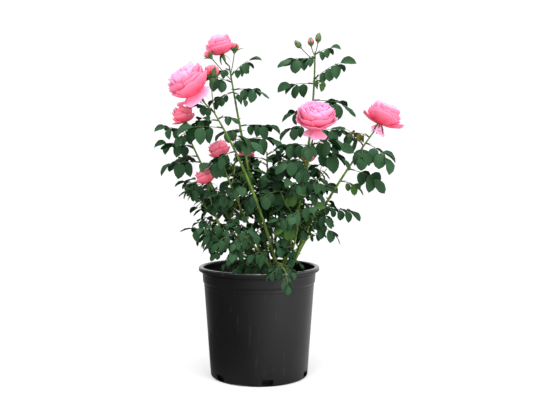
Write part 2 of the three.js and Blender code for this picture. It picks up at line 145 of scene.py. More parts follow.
def collar_radius(height):
    """Outside radius of the collar, from the step up to the lip."""
    return POT_BAND - 0.0018 + 0.0018 * (height - POT_STEP) / (POT_TOP - LIP_TALL - POT_STEP)


profile = [(0, 0), (POT_FOOT - 0.03, 0)]
profile += arc((POT_FOOT - HEEL_ROUND, HEEL_ROUND), HEEL_ROUND, -90, -8, 6)
profile += [(body_radius(h), h) for h in np.linspace(0.012, POT_STEP - 0.012, 22)]
profile += bead(body_radius, POT_STEP - 0.0065, 0.0004, 0.0026)
profile += [(body_radius(POT_STEP - 0.001), POT_STEP - 0.001)]
profile += [(collar_radius(POT_STEP) - 0.0004, POT_STEP + 0.001)]
profile += [(collar_radius(POT_STEP + 0.0022), POT_STEP + 0.0022)]
profile += [(collar_radius(h), h) for h in np.linspace(POT_STEP + 0.006, POT_TOP - 0.0175, 5)]
profile += bead(collar_radius, POT_TOP - 0.0148, 0.0008, 0.0028)
profile += [(POT_BAND, POT_TOP - LIP_TALL - 0.0006), (POT_BAND + LIP_EDGE, POT_TOP - LIP_TALL)]
profile += arc((POT_RIM - LIP_EDGE, POT_TOP - LIP_TALL + LIP_EDGE), LIP_EDGE, -90, 0, 3)
profile += arc((POT_RIM - LIP_ROUND, POT_TOP - LIP_ROUND), LIP_ROUND, 0, 90, 7)
profile += arc((POT_BAND - POT_WALL + LIP_ROUND, POT_TOP - LIP_ROUND), LIP_ROUND, 90, 180, 6)
profile += [(POT_BAND - POT_WALL, h) for h in (POT_TOP - LIP_TALL, POT_STEP + 0.004)]
profile += [(body_radius(h) - POT_WALL, h) for h in (POT_STEP - 0.003, 0.15, 0.08)]
profile += [(POT_FOOT - 0.003, 0.008), (POT_FOOT - 0.007, POT_FLOOR), (0, POT_FLOOR)]
pot_blank = piece_of("pot_blank", turned("pot_blank", profile, POT_SIDES))


def slot_block(turn, wide, low, high, depth, corner):
    """Corners and faces of a block through the heel with its two upper corners rounded."""
    outline = [(-wide / 2, low), (wide / 2, low)]
    outline += arc((wide / 2 - corner, high - corner), corner, 0, 90, 4)
    outline += arc((-wide / 2 + corner, high - corner), corner, 90, 180, 4)
    count = len(outline)
    spin = Matrix.Rotation(math.radians(turn), 3, "Z")
    outer, inner = POT_FOOT + 0.004, POT_FOOT + 0.004 - depth
    points = [spin @ Vector((r, across, z)) for r in (inner, outer) for across, z in outline]
    faces = [tuple(range(count))[::-1], tuple(range(count, 2 * count))]
    faces += [(k, (k + 1) % count, (k + 1) % count + count, k + count) for k in range(count)]
    return points, faces


cuts = [slot_block(-80 + 60 * k, *DRAIN_SLOT) for k in range(6)]
cuts += [slot_block(-110.5 + 120 * k, *FOOT_ARCH) for k in range(3)]
points, faces = [], []
for block_points, block_faces in cuts:
    faces += [tuple(i + len(points) for i in face) for face in block_faces]
    points += block_points
cutters = piece_of("slots", mesh_of("slots", points, faces, smooth=False))
cut = pot_blank.modifiers.new("slots", "BOOLEAN")
cut.operation = "DIFFERENCE"
cut.solver = "EXACT"
cut.object = cutters


def settled(shape):
    """The plain mesh of an object with its modifiers worked out."""
    bpy.context.view_layer.update()
    mesh = bpy.data.meshes.new_from_object(shape.evaluated_get(bpy.context.evaluated_depsgraph_get()))
    bpy.data.objects.remove(shape)
    return mesh


pot_mesh = settled(pot_blank)
pot_mesh.set_sharp_from_angle(angle=math.radians(38))
bpy.data.objects.remove(cutters)
nursery_pot = piece_of("nursery_pot", pot_mesh)


def put(tree, kind, inputs=None, **settings):
    """A node in a tree, with its settings, its plain input values and its links."""
    made = tree.nodes.new(kind)
    for name, value in settings.items():
        setattr(made, name, value)
    for key, value in (inputs or {}).items():
        if isinstance(value, bpy.types.NodeSocket):
            tree.links.new(value, made.inputs[key])
        else:
            made.inputs[key].default_value = value
    return made


def group(name, kind, inputs, outputs):
    """A node group with named sockets: its tree, its input node and its output node."""
    tree = bpy.data.node_groups.new(name, kind)
    for label, (socket, value) in inputs.items():
        made = tree.interface.new_socket(label, in_out="INPUT", socket_type=socket)
        if value is not None:
            made.default_value = value
    for label, socket in outputs.items():
        tree.interface.new_socket(label, in_out="OUTPUT", socket_type=socket)
    return tree, tree.nodes.new("NodeGroupInput").outputs, tree.nodes.new("NodeGroupOutput")


def maths(tree, operation, *values, kind="ShaderNodeMath"):
    """One step of reckoning in a tree, as a socket."""
    return put(tree, kind, dict(enumerate(values)), operation=operation).outputs[0]


def ramped(tree, value, low, high):
    """A mask that goes from 0 to 1 while a value goes from one level to another."""
    levels = {"Value": value, "From Min": low, "From Max": high}
    return put(tree, "ShaderNodeMapRange", levels).outputs["Result"]


# Soft uneven patches over a surface, as a mask that runs from 0 to 1 between two noise levels.
mottle, given, taken = group(
    "mottle",
    "ShaderNodeTree",
    {
        "Scale": ("NodeSocketFloat", 30.0),
        "Stretch": ("NodeSocketVector", (1.0, 1.0, 1.0)),
        "Low": ("NodeSocketFloat", 0.4),
        "High": ("NodeSocketFloat", 0.6),
    },
    {"Mask": "NodeSocketFloat"},
)
places = put(mottle, "ShaderNodeTexCoord").outputs["Object"]
stretched = maths(mottle, "MULTIPLY", places, given["Stretch"], kind="ShaderNodeVectorMath")
cloud = put(mottle, "ShaderNodeTexNoise", {"Vector": stretched, "Scale": given["Scale"], "Detail": 5.0})
band = ramped(mottle, cloud.outputs["Fac"], given["Low"], given["High"])
mottle.links.new(band, taken.inputs["Mask"])


def finish(name, colour, **values):
    """A new material: its tree and its Principled shader with plain values set."""
    material = bpy.data.materials.new(name)
    material.use_nodes = True
    shader = material.node_tree.nodes["Principled BSDF"]
    shader.inputs["Base Color"].default_value = (*colour, 1)
    for label, value in values.items():
        shader.inputs[label.replace("_", " ")].default_value = value
    return material, material.node_tree, shader


def mottled(tree, scale, low, high, stretch=(1, 1, 1)):
    """The mask of soft patches, in a material of its own scale."""
    made = put(tree, "ShaderNodeGroup", node_tree=mottle)
    for label, value in (("Scale", scale), ("Stretch", stretch), ("Low", low), ("High", high)):
        made.inputs[label].default_value = value
    return made.outputs["Mask"]


def blended(tree, mask, first, second):
    """A colour between two others, each a plain colour or a socket, by a mask."""
    made = put(tree, "ShaderNodeMix", {"Factor": mask}, data_type="RGBA", blend_type="MIX")
    for socket, colour in ((made.inputs[6], first), (made.inputs[7], second)):
        if isinstance(colour, bpy.types.NodeSocket):
            tree.links.new(colour, socket)
        else:
            socket.default_value = (*colour, 1)
    return made.outputs[2]


def painted(tree, shader, mask, first, second):
    """Colours a shader with a blend of two colours by a mask."""
    tree.links.new(blended(tree, mask, first, second), shader.inputs["Base Color"])


def relief(tree, shader, height, strength, distance):
    """Fine bumps on a shader from a height."""
    made = put(tree, "ShaderNodeBump", {"Height": height, "Strength": strength, "Distance": distance})
    tree.links.new(made.outputs["Normal"], shader.inputs["Normal"])


pot_plastic, tree, shader = finish(
    "pot_plastic", (0.008, 0.008, 0.0085), Roughness=0.3, IOR=1.49, Specular_IOR_Level=0.2
)
flow = mottled(tree, 7, 0.35, 0.65, (1, 1, 0.25))
scuffs = mottled(tree, 120, 0.62, 0.74, (1, 1, 0.12))
grain = mottled(tree, 2600, 0.2, 0.8)
black = blended(tree, flow, (0.004, 0.004, 0.0043), (0.008, 0.008, 0.0083))
painted(tree, shader, scuffs, black, (0.017, 0.017, 0.017))
sheen = put(tree, "ShaderNodeMapRange", {"Value": flow, "To Min": 0.27, "To Max": 0.35})
tree.links.new(sheen.outputs["Result"], shader.inputs["Roughness"])
relief(tree, shader, grain, 0.12, 0.0003)
# The lip's top band is painted a lighter grey in soft patches: a painted highlight along the lip.
lip_painted_highlight, tree, shader = finish("lip_painted_highlight", (0.02, 0.02, 0.021), Roughness=0.2, IOR=1.49)
highlight_patches = mottled(tree, 60, 0.4, 0.62, (1, 1, 0.4))
painted(tree, shader, highlight_patches, (0.014, 0.014, 0.015), (0.03, 0.03, 0.03))
relief(tree, shader, mottled(tree, 2600, 0.2, 0.8), 0.1, 0.0003)
pot_mesh.materials.clear()
pot_mesh.materials.append(pot_plastic)
pot_mesh.materials.append(lip_painted_highlight)
for face in pot_mesh.polygons:
    if face.center.z > POT_TOP - LIP_HIGHLIGHT_BAND:
        face.material_index = 1
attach(nursery_pot, "root")
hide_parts("pot")

# ------------------------------------------------------------------ potting soil and bark chips
# A peat and bark mix that fills the pot to two fingers' breadth under the lip: dark, crumbly and
# uneven, with loose chips of composted bark lying on it.
SOIL_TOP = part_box("soil")[1][2]
SOIL_EDGE = SOIL_TOP - 0.006
SOIL_FLAT = 0.078
SOIL_GAP = 0.0012
SOIL_SIDES = 150
CRUMBS = 0.0026
CHIP_LONG = 0.011
CHIPS_PER_M2 = 15000.0

soil_radius = body_radius(SOIL_EDGE) - POT_WALL - SOIL_GAP
profile = [(0, POT_FLOOR + 0.0004), (POT_FOOT - 0.0105, POT_FLOOR + 0.0004), (POT_FOOT - 0.0045, 0.018)]
profile += [(body_radius(h) - POT_WALL - SOIL_GAP, h) for h in (0.06, 0.12, 0.18, SOIL_EDGE)]
profile += [
    (r, SOIL_EDGE + (SOIL_TOP - SOIL_EDGE) * min(1, (soil_radius - r) / (soil_radius - SOIL_FLAT)))
    for r in np.linspace(soil_radius - 0.003, 0.003, 36)
]
profile += [(0, SOIL_TOP)]
soil_mesh = turned("potting_soil", profile, SOIL_SIDES)
for corner in soil_mesh.vertices:
    if corner.co.z > SOIL_EDGE - 0.001:
        at = corner.co
        lumps = noise.fractal(at * 60, 1.0, 2.0, 5) + 0.6 * noise.noise(at * 260)
        corner.co.z += CRUMBS * (lumps - 0.5)
potting_soil = piece_of("potting_soil", soil_mesh)

soil_mix, tree, shader = finish("soil_mix", (0.02, 0.012, 0.008), Roughness=0.95, Specular_IOR_Level=0.1)
crumble = mottled(tree, 260, 0.35, 0.62)
damp = mottled(tree, 28, 0.4, 0.6)
earth = blended(tree, crumble, (0.011, 0.007, 0.005), (0.045, 0.028, 0.017))
painted(tree, shader, damp, earth, (0.012, 0.008, 0.006))
relief(tree, shader, crumble, 0.9, 0.002)
soil_mesh.materials.append(soil_mix)


def chip(name, long, wide, thick, seed):
    """A splinter of bark: a slab with torn ends and an uneven top."""
    stations = [-1, -0.5, 0.1, 0.6, 1]
    corners = []
    for k, x in enumerate(stations):
        shrink = 1 - 0.45 * abs(x) ** 3
        sway = 0.25 * noise.noise(Vector((seed, k * 1.3, 0)))
        for y, z in ((-1, -1), (1, -1), (1, 1), (-1, 1)):
            rough = 1 + 0.35 * noise.noise(Vector((seed + 3, k + y, z)))
            corners.append((long * x / 2, wide * (y * shrink * rough + sway) / 2, thick * z * rough / 2))
    faces = [(0, 3, 2, 1), (16, 17, 18, 19)]
    for k in range(4):
        a, b = 4 * k, 4 * k + 4
        faces += [(a + j, b + j, b + (j + 1) % 4, a + (j + 1) % 4) for j in range(4)]
    mesh = mesh_of(name, corners, [face[::-1] for face in faces], smooth=False)
    return bpy.data.objects.new(name, mesh)


def kept_shapes(name, shapes):
    """A collection of master shapes, outside the scene, that trees deal out copies of."""
    store = bpy.data.collections.new(name)
    for shape in shapes:
        store.objects.link(shape)
    return store


chip_shapes = []
for k, (long, wide) in enumerate([(1.0, 0.45), (0.7, 0.5), (1.3, 0.35)]):
    chip_shapes.append(chip(f"chip_{k}", CHIP_LONG * long, CHIP_LONG * wide, CHIP_LONG * 0.22, k * 7.7))
chips = kept_shapes("chips", chip_shapes)


def dealt(tree, points, shapes, more):
    """Copies of a collection's shapes on points, as a socket."""
    masters = put(tree, "GeometryNodeCollectionInfo", {"Collection": shapes, "Separate Children": True})
    inputs = {"Points": points, "Instance": masters.outputs[0], "Pick Instance": True, **more}
    return put(tree, "GeometryNodeInstanceOnPoints", inputs).outputs[0]


def ended(tree, taken, geometry, skin):
    """The end of a piece's tree: real geometry in its material."""
    real = put(tree, "GeometryNodeRealizeInstances", {"Geometry": geometry}).outputs[0]
    dressed = put(tree, "GeometryNodeSetMaterial", {"Geometry": real, "Material": skin}).outputs[0]
    tree.links.new(dressed, taken.inputs["Geometry"])


# Deals chips over the upward faces of the soil, each turned and tipped at random.
strew, given, taken = group(
    "strew_chips",
    "GeometryNodeTree",
    {
        "Soil": ("NodeSocketGeometry", None),
        "Chips": ("NodeSocketCollection", None),
        "Density": ("NodeSocketFloat", 1000.0),
        "Seed": ("NodeSocketInt", 1),
        "Finish": ("NodeSocketMaterial", None),
    },
    {"Geometry": "NodeSocketGeometry"},
)
upward = put(strew, "ShaderNodeSeparateXYZ", {0: put(strew, "GeometryNodeInputNormal").outputs[0]})
place = put(strew, "GeometryNodeInputPosition").outputs[0]
level = maths(strew, "MULTIPLY", place, (1.0, 1.0, 0.0), kind="ShaderNodeVectorMath")
radius = put(strew, "ShaderNodeVectorMath", {0: level}, operation="LENGTH").outputs["Value"]
faces_up = maths(strew, "GREATER_THAN", upward.outputs["Z"], 0.5, kind="FunctionNodeCompare")
clear = maths(strew, "LESS_THAN", radius, soil_radius - CHIP_LONG, kind="FunctionNodeCompare")
both = maths(strew, "AND", faces_up, clear, kind="FunctionNodeBooleanMath")
spots = put(
    strew,
    "GeometryNodeDistributePointsOnFaces",
    {"Mesh": given["Soil"], "Selection": both, "Density": given["Density"], "Seed": given["Seed"]},
)
tumble = put(
    strew,
    "FunctionNodeRandomValue",
    {0: (-0.5, -0.5, 0.0), 1: (0.5, 0.5, 6.283), "Seed": given["Seed"]},
    data_type="FLOAT_VECTOR",
)
scales = put(strew, "FunctionNodeRandomValue", {2: 0.5, 3: 1.25, "Seed": given["Seed"]}, data_type="FLOAT")
turns = put(strew, "FunctionNodeEulerToRotation", {0: tumble.outputs[0]})
tossed = {"Rotation": turns.outputs[0], "Scale": scales.outputs[1]}
ended(strew, taken, dealt(strew, spots.outputs["Points"], given["Chips"], tossed), given["Finish"])


def grown(name, tree, base, **sizes):
    """A piece whose plain mesh is what a Geometry Nodes tree makes of a base mesh."""
    start = piece_of(name + "_start", base)
    modifier = start.modifiers.new("grow", "NODES")
    modifier.node_group = tree
    sockets = {item.name: item.identifier for item in tree.interface.items_tree if item.in_out == "INPUT"}
    for label, value in sizes.items():
        modifier[sockets[label]] = value
    mesh = settled(start)
    mesh.name = name
    return piece_of(name, mesh)


chip_bark, tree, shader = finish("chip_bark", (0.06, 0.035, 0.02), Roughness=0.9)
fibres = mottled(tree, 500, 0.35, 0.65, (1, 1, 3))
painted(tree, shader, fibres, (0.02, 0.012, 0.008), (0.095, 0.055, 0.032))
relief(tree, shader, fibres, 0.6, 0.0006)
bark_chips = grown(
    "bark_chips", strew, soil_mesh, Chips=chips, Density=CHIPS_PER_M2, Seed=11, Finish=chip_bark
)
for piece in (potting_soil, bark_chips):
    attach(piece, "root")
    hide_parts("soil")

# ------------------------------------------------------------------ bud union
# The swollen graft where the garden rose was budded on its rootstock: a knobbly woody lump just
# above the soil, with cracked grey-brown bark, that every cane springs from.
GAP = 0.00035
CROWN_AT = Vector((0.042, -0.018, SOIL_TOP + GAP))
CROWN_RADIUS = 0.025
CROWN_TALL = 0.029
CROWN_SUNK = 0.002
CROWN_SIDES = 72

union_mesh = turned("graft_union", [(0, 0)] + arc((0, 0), 1, -88, 88, 44) + [(0, 1)], CROWN_SIDES)
for corner in union_mesh.vertices:
    x, y, z = corner.co
    knob = 1 + 0.1 * math.sin(4 * math.atan2(y, x) + 3 * z)
    at = Vector((x * 2.2, y * 2.2, z * 2.2))
    rough = 1 + 0.07 * noise.noise(at * 1.4) + 0.035 * noise.fractal(at * 4, 1.0, 2.0, 4)
    r = CROWN_RADIUS * knob * rough
    foot = CROWN_AT.z - CROWN_SUNK
    corner.co = (x * r + CROWN_AT.x, y * r + CROWN_AT.y, max(foot, z * CROWN_TALL * rough + CROWN_AT.z))
graft_union = piece_of("graft_union", union_mesh)
union_bark, tree, shader = finish("union_bark", (0.12, 0.09, 0.05), Roughness=0.85)
cracks = mottled(tree, 170, 0.4, 0.6, (1, 1, 0.4))
lichen = mottled(tree, 60, 0.52, 0.66)
bark = blended(tree, cracks, (0.05, 0.032, 0.018), (0.17, 0.125, 0.07))
painted(tree, shader, lichen, bark, (0.15, 0.16, 0.07))
relief(tree, shader, cracks, 0.8, 0.0015)
union_mesh.materials.append(union_bark)
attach(graft_union, "root")
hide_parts("bud_union")

# ------------------------------------------------------------------ canes and stems
# Each shoot is one limb from the bud union to its tip: smooth green young wood, brown and ridged
# at the foot, swollen where each leaf sits. It bends in one curve from its foot to its tip.
FOOT_SUNK = 0.004
TIP_THICK = 0.0017
FIRST_LEAF = 0.2
CANE_DRAWN = 0.86
CANE_STEP = 0.0035
NODE_SWELL = 0.16
NODE_LONG = 0.005


def mm(x, y, z):
    return Vector((x, y, z)) * 0.001


# Azimuth and rise where a shoot leaves the union, its bend and tip, the radius at its foot and the
# share of it that is bare; its leaves, their phase and turn round the stem counted down from the
# tip, the reach of a whole leaf, the share of the places between leaves that hold one too, and
# how many side twigs it has.
Shoot = namedtuple("Shoot", "name leaves_at bend tip thick bare leaves phase turn reach filling twigs")
SHOOTS = [Shoot(*row) for row in (
    ("front", (-72, 15), mm(0, -112, 445), mm(-99, -76, 605), 0.0042, 0.7, 6, 195, 166, 0.088, 0.4, 0),
    ("left_tall", (165, 58), mm(-30, 6, 480), mm(-68, -5, 715), 0.0044, 0.5, 8, 4, 170, 0.094, 0.0, 0),
    ("right_tall", (60, 58), mm(128, 20, 480), mm(130, 22, 752), 0.0046, 0.5, 8, -14, 176, 0.098, 0.0, 0),
    ("middle", (-10, 58), mm(95, -60, 400), mm(121, -55, 550), 0.0038, 0.45, 7, 150, 160, 0.096, 1.0, 1),
    ("right", (16, 15), mm(138, 0, 392), mm(268, -20, 573), 0.0042, 0.5, 8, 176, 170, 0.1, 0.3, 0),
    ("left", (188, 15), mm(-60, 0, 325), mm(-172, -38, 582), 0.0042, 0.42, 7, 170, 164, 0.096, 0.4, 0),
    ("centre", (118, 58), mm(22, 10, 400), mm(18, 16, 520), 0.0032, 0.5, 5, 10, 150, 0.096, 1.0, 1),
    ("inner_left", (215, 58), mm(-50, -50, 400), mm(-88, -40, 507), 0.0034, 0.4, 5, 90, 150, 0.088, 1.0, 1),
    ("low_left", (222, 12), mm(-92, -62, 290), mm(-115, -45, 447), 0.0034, 0.35, 5, 190, 140, 0.09, 1.0, 1),
    ("back_right", (70, 16), mm(80, 60, 380), mm(111, 90, 492), 0.0034, 0.4, 5, 40, 138, 0.096, 1.0, 1),
    ("back_left", (122, 16), mm(0, 60, 380), mm(-34, 70, 492), 0.0034, 0.4, 5, 150, 138, 0.096, 1.0, 1),
    ("far_left", (150, 12), mm(-70, 90, 300), mm(-112, 118, 430), 0.0034, 0.3, 5, 120, 140, 0.098, 1.0, 1),
    ("far_right", (46, 12), mm(110, 90, 300), mm(136, 102, 428), 0.0034, 0.3, 5, 10, 140, 0.098, 1.0, 1),
    ("far_middle", (95, 12), mm(40, 110, 270), mm(40, 140, 400), 0.0032, 0.25, 5, 80, 140, 0.096, 1.0, 1),
    ("low_front", (-98, 12), mm(10, -90, 300), mm(-38, -118, 340), 0.0028, 0.0, 5, 250, 136, 0.084, 1.0, 1),
    ("low_right", (-14, 12), mm(106, -30, 330), mm(134, -28, 396), 0.003, 0.0, 5, 20, 150, 0.074, 1.0, 1),
    ("low_middle", (-42, 12), mm(80, -80, 300), mm(92, -95, 392), 0.0028, 0.0, 5, -70, 138, 0.088, 1.0, 1),
    ("side_left", (246, 12), mm(-40, -86, 292), mm(-92, -86, 342), 0.0028, 0.0, 5, 200, 150, 0.086, 1.0, 1),
    ("trailing", (-85, 2), mm(30, -132, 310), mm(58, -168, 262), 0.0022, 0.0, 3, 215, 130, 0.056, 0.5, 0),
)]
ORDER = {shoot.name: order for order, shoot in enumerate(SHOOTS)}
UP = Vector((0, 0, 1))


def along(azimuth, rise):
    """The direction that has an azimuth and a rise."""
    a, e = math.radians(azimuth), math.radians(rise)
    return Vector((math.cos(a) * math.cos(e), math.sin(a) * math.cos(e), math.sin(e)))


def chance(shoot, leaf, use):
    """A number from 0 to 1 that is always the same for the same shoot, leaf and use."""
    mixed = math.sin(shoot * 127.1 + leaf * 311.7 + use * 74.7) * 43758.5453
    return mixed - math.floor(mixed)


def vary(low, high, *keys):
    """A number between two others, from the same rule."""
    return low + (high - low) * chance(*keys)


def on_path(path, t):
    """The place at a share of a curve that has a start, a bend and an end."""
    start, bend, end = path
    return start * (1 - t) ** 2 + bend * (2 * t * (1 - t)) + end * t * t


def heading(path, t):
    """The way that a curve runs at a share of it."""
    start, bend, end = path
    return ((bend - start) * (1 - t) + (end - bend) * t).normalized()


def path_of(shoot):
    return (CROWN_AT + along(*shoot.leaves_at) * (CROWN_RADIUS - FOOT_SUNK), shoot.bend, shoot.tip)


def path_length(path):
    start, bend, end = path
    return (bend - start).length + (end - bend).length


def shares_of(count):
    """Even shares of a path, from 0 to 1."""
    return [k / count for k in range(count + 1)]


def girth(thick, t):
    """The radius of a shoot at a share of it."""
    return TIP_THICK + (thick - TIP_THICK) * max(0, 1 - t) ** 0.7


def leaf_share(shoot, k):
    """How far up its shoot the leaf numbered k down from the tip sits."""
    return 1 - ((1 - max(shoot.bare, FIRST_LEAF)) * (k + 0.35)) / shoot.leaves


class Limbs:
    """Centre lines with a radius at each point, for one piece of many limbs."""

    def __init__(self):
        self.points, self.radii, self.edges = [], [], []

    def add(self, points, radii):
        first = len(self.points)
        self.points += [tuple(point) for point in points]
        self.radii += list(radii)
        self.edges += [(k, k + 1) for k in range(first, first + len(points) - 1)]

    def lines(self, name):
        mesh = bpy.data.meshes.new(name)
        mesh.from_pydata(self.points, self.edges, [])
        mesh.attributes.new("girth", "FLOAT", "POINT").data.foreach_set("value", self.radii)
        return mesh


def stored(tree, name, kind):
    """A value that each point of the geometry holds, as a socket."""
    return put(tree, "GeometryNodeInputNamedAttribute", {"Name": name}, data_type=kind).outputs[0]


def coordinates(tree, kind):
    """The X, Y and Z of a texture coordinate, as sockets."""
    place = put(tree, "ShaderNodeTexCoord").outputs[kind]
    return put(tree, "ShaderNodeSeparateXYZ", {0: place}).outputs


# Sweeps a round section along each centre line and roughens it into bark.
sweep, given, taken = group(
    "sweep_limbs",
    "GeometryNodeTree",
    {
        "Lines": ("NodeSocketGeometry", None),
        "Sides": ("NodeSocketInt", 8),
        "Roughness": ("NodeSocketFloat", 0.0),
        "Grain": ("NodeSocketFloat", 300.0),
        "Finish": ("NodeSocketMaterial", None),
    },
    {"Geometry": "NodeSocketGeometry"},
)
thickness = stored(sweep, "girth", "FLOAT")
curves = put(sweep, "GeometryNodeMeshToCurve", {"Mesh": given["Lines"]}).outputs[0]
section = put(sweep, "GeometryNodeCurvePrimitiveCircle", {"Resolution": given["Sides"], "Radius": 1.0})
skin = put(
    sweep,
    "GeometryNodeCurveToMesh",
    {"Curve": curves, "Profile Curve": section.outputs[0], "Scale": thickness, "Fill Caps": True},
)
cloud = put(sweep, "ShaderNodeTexNoise", {"Scale": given["Grain"], "Detail": 3.0})
depth = maths(sweep, "MULTIPLY", maths(sweep, "SUBTRACT", cloud.outputs["Fac"], 0.5), given["Roughness"])
outward = put(sweep, "GeometryNodeInputNormal").outputs[0]
push = put(sweep, "ShaderNodeVectorMath", {0: outward, "Scale": depth}, operation="SCALE").outputs[0]
barked = put(sweep, "GeometryNodeSetPosition", {"Geometry": skin.outputs[0], "Offset": push}).outputs[0]
smooth = put(sweep, "GeometryNodeSetShadeSmooth", {"Geometry": barked}).outputs[0]
ended(sweep, taken, smooth, given["Finish"])

cane_lines = Limbs()
for shoot in SHOOTS:
    path = path_of(shoot)
    length = path_length(path)
    shares = shares_of(int(length / CANE_STEP))
    joints = [leaf_share(shoot, k / 2) for k in range(-1, 2 * shoot.leaves + 8)]
    radii = []
    for t in shares:
        swell = sum(math.exp(-(((t - joint) * length / NODE_LONG) ** 2)) for joint in joints)
        radii.append(CANE_DRAWN * girth(shoot.thick, t) * (1 + NODE_SWELL * min(1, swell)))
    cane_lines.add([on_path(path, t) for t in shares], radii)

cane_bark, tree, shader = finish("cane_bark", (0.12, 0.25, 0.04), Roughness=0.5, Specular_IOR_Level=0.12)
height = coordinates(tree, "Object")["Z"]
aged = ramped(tree, height, 0.27, 0.22)
young = ramped(tree, height, 0.5, 0.74)
streaks = mottled(tree, 90, 0.38, 0.62, (1, 1, 0.15))
specks = mottled(tree, 900, 0.6, 0.68)
green = blended(tree, streaks, (0.07, 0.145, 0.02), (0.155, 0.26, 0.045))
green = blended(tree, young, green, (0.075, 0.145, 0.032))
wood = blended(tree, streaks, (0.06, 0.055, 0.02), (0.13, 0.14, 0.05))
painted(tree, shader, specks, blended(tree, aged, green, wood), (0.24, 0.2, 0.09))
relief(tree, shader, streaks, 0.35, 0.0006)
canes_and_stems = grown(
    "canes_and_stems", sweep, cane_lines.lines("cane_lines"),
    Sides=12, Roughness=0.0009, Grain=210.0, Finish=cane_bark,
)
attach(canes_and_stems, "root")
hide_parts(*[name for name in nodes if name.startswith("cane_")])

# ------------------------------------------------------------------ prickles
# Broad-based, down-curved prickles of the skin of each cane, red-brown mottled with pale horn. They
# sit scattered all round it, a thumb's breadth apart, and thin out towards the flowers.
PRICKLE_LONG = 0.0062
PRICKLE_STEP = 0.0125
PRICKLE_RINGS = 5
PRICKLE_SIDES = 7
PRICKLE_REACH = 0.93
PRICKLE_SEAT = 0.93
THICKEST = 0.0042


def prickle(name):
    """A hooked cone with an oval foot: X points away from the cane and Z up it."""
    rings, sides = PRICKLE_RINGS, PRICKLE_SIDES
    corners, faces = [], []
    for ring in range(rings):
        share = ring / rings
        half_wide = 0.16 * (1 - share) ** 1.3
        half_tall = 0.34 * (1 - share) ** 1.5
        for k in range(sides):
            a = 2 * math.pi * k / sides
            corners.append((share, half_wide * math.cos(a), half_tall * math.sin(a) - 0.32 * share**1.6))
    tip = len(corners)
    corners.append((1, 0, -0.36))
    for k in range(sides):
        after = (k + 1) % sides
        for ring in range(rings - 1):
            a, b = ring * sides, (ring + 1) * sides
            faces.append((a + k, a + after, b + after, b + k))
        faces.append((tip - sides + k, tip - sides + after, tip))
    faces.append(tuple(range(sides))[::-1])
    return bpy.data.objects.new(name, mesh_of(name, corners, faces))


def squared(out, stem):
    """The direction across a stem that is nearest to another direction."""
    return (out - stem * out.dot(stem)).normalized()


class Places:
    """Points that hold a turn, a size and a kind, for a tree to put copies on."""

    def __init__(self):
        self.points, self.turns, self.sizes, self.kinds = [], [], [], []

    def add(self, at, forward, up, size, kind=0):
        """Puts a copy at a point, its X along forward and its Z as near up as that allows."""
        side = up.cross(forward).normalized()
        axes = Matrix((forward, side, forward.cross(side))).transposed()
        self.points.append(tuple(at))
        self.turns.append(tuple(axes.to_quaternion()))
        self.sizes.append(tuple(size))
        self.kinds.append(kind)

    def cloud(self, name):
        mesh = mesh_of(name, self.points, [], smooth=False)
        for label, kind, field, values in (
            ("turn", "QUATERNION", "value", self.turns),
            ("size", "FLOAT_VECTOR", "vector", self.sizes),
            ("kind", "INT", "value", self.kinds),
        ):
            number = np.int32 if kind == "INT" else np.float32
            held = mesh.attributes.new(label, kind, "POINT")
            held.data.foreach_set(field, np.array(values, number).ravel())
        return mesh


# Deals master shapes onto places, each by its own turn, size and kind.
deal, given, taken = group(
    "deal_shapes",
    "GeometryNodeTree",
    {
        "Places": ("NodeSocketGeometry", None),
        "Shapes": ("NodeSocketCollection", None),
        "Finish": ("NodeSocketMaterial", None),
    },
    {"Geometry": "NodeSocketGeometry"},
)
posed = {
    "Instance Index": stored(deal, "kind", "INT"),
    "Rotation": stored(deal, "turn", "QUATERNION"),
    "Scale": stored(deal, "size", "FLOAT_VECTOR"),
}
ended(deal, taken, dealt(deal, given["Places"], given["Shapes"], posed), given["Finish"])

prickle_places = Places()
for order, shoot in enumerate(SHOOTS):
    path = path_of(shoot)
    length = path_length(path)
    for k in range(2, int(PRICKLE_REACH * length / PRICKLE_STEP)):
        t = (k + vary(-0.4, 0.4, order, k, 41)) * PRICKLE_STEP / length
        if chance(order, k, 42) < 0.15 + 0.6 * t:
            continue
        stem = heading(path, t)
        out = squared(along(360 * chance(order, k, 43), 0), stem)
        at = on_path(path, t) + out * (PRICKLE_SEAT * girth(shoot.thick, t))
        long = PRICKLE_LONG * vary(0.6, 1.1, order, k, 44) * (0.6 + 0.4 * shoot.thick / THICKEST)
        prickle_places.add(at, out, stem, (long, long, long))

prickle_horn, tree, shader = finish("prickle_horn", (0.2, 0.07, 0.03), Roughness=0.45)
horn = mottled(tree, 700, 0.4, 0.62)
painted(tree, shader, horn, (0.23, 0.1, 0.035), (0.34, 0.26, 0.1))
relief(tree, shader, horn, 0.2, 0.0003)
prickles = grown(
    "prickles", deal, prickle_places.cloud("prickle_places"),
    Shapes=kept_shapes("prickle_shapes", [prickle("prickle")]), Finish=prickle_horn,
)
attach(prickles, "root")
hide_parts(*[name for name in nodes if name.startswith("cane_")])

# ------------------------------------------------------------------ leaves and side twigs
# Compound leaves of five or seven toothed leaflets on an arching stalk. Older ones are deep blue
# green, those near the tips fresher, and a few new ones bronze. Side twigs fill the crown's foot.

# For two and for three pairs: a leaflet's length in the leaf's, and where the pairs sit on the stalk.
LEAF_LONG = {2: 0.46, 3: 0.37}
PAIR_LEVELS = {2: [0.76, 0.4], 3: [0.82, 0.55, 0.32]}
LEAF_WIDE = 0.7
TEETH = 9
STALK_THICK = 0.00105
TWIG_THICK = 0.0016
STIPULE_LONG = 0.014
FOOT_KEYS = 70
FILLING_KEYS = 50
TWIG_KEYS = 100
LEAF_COLOURS = ("deep", "middle", "fresh", "young")

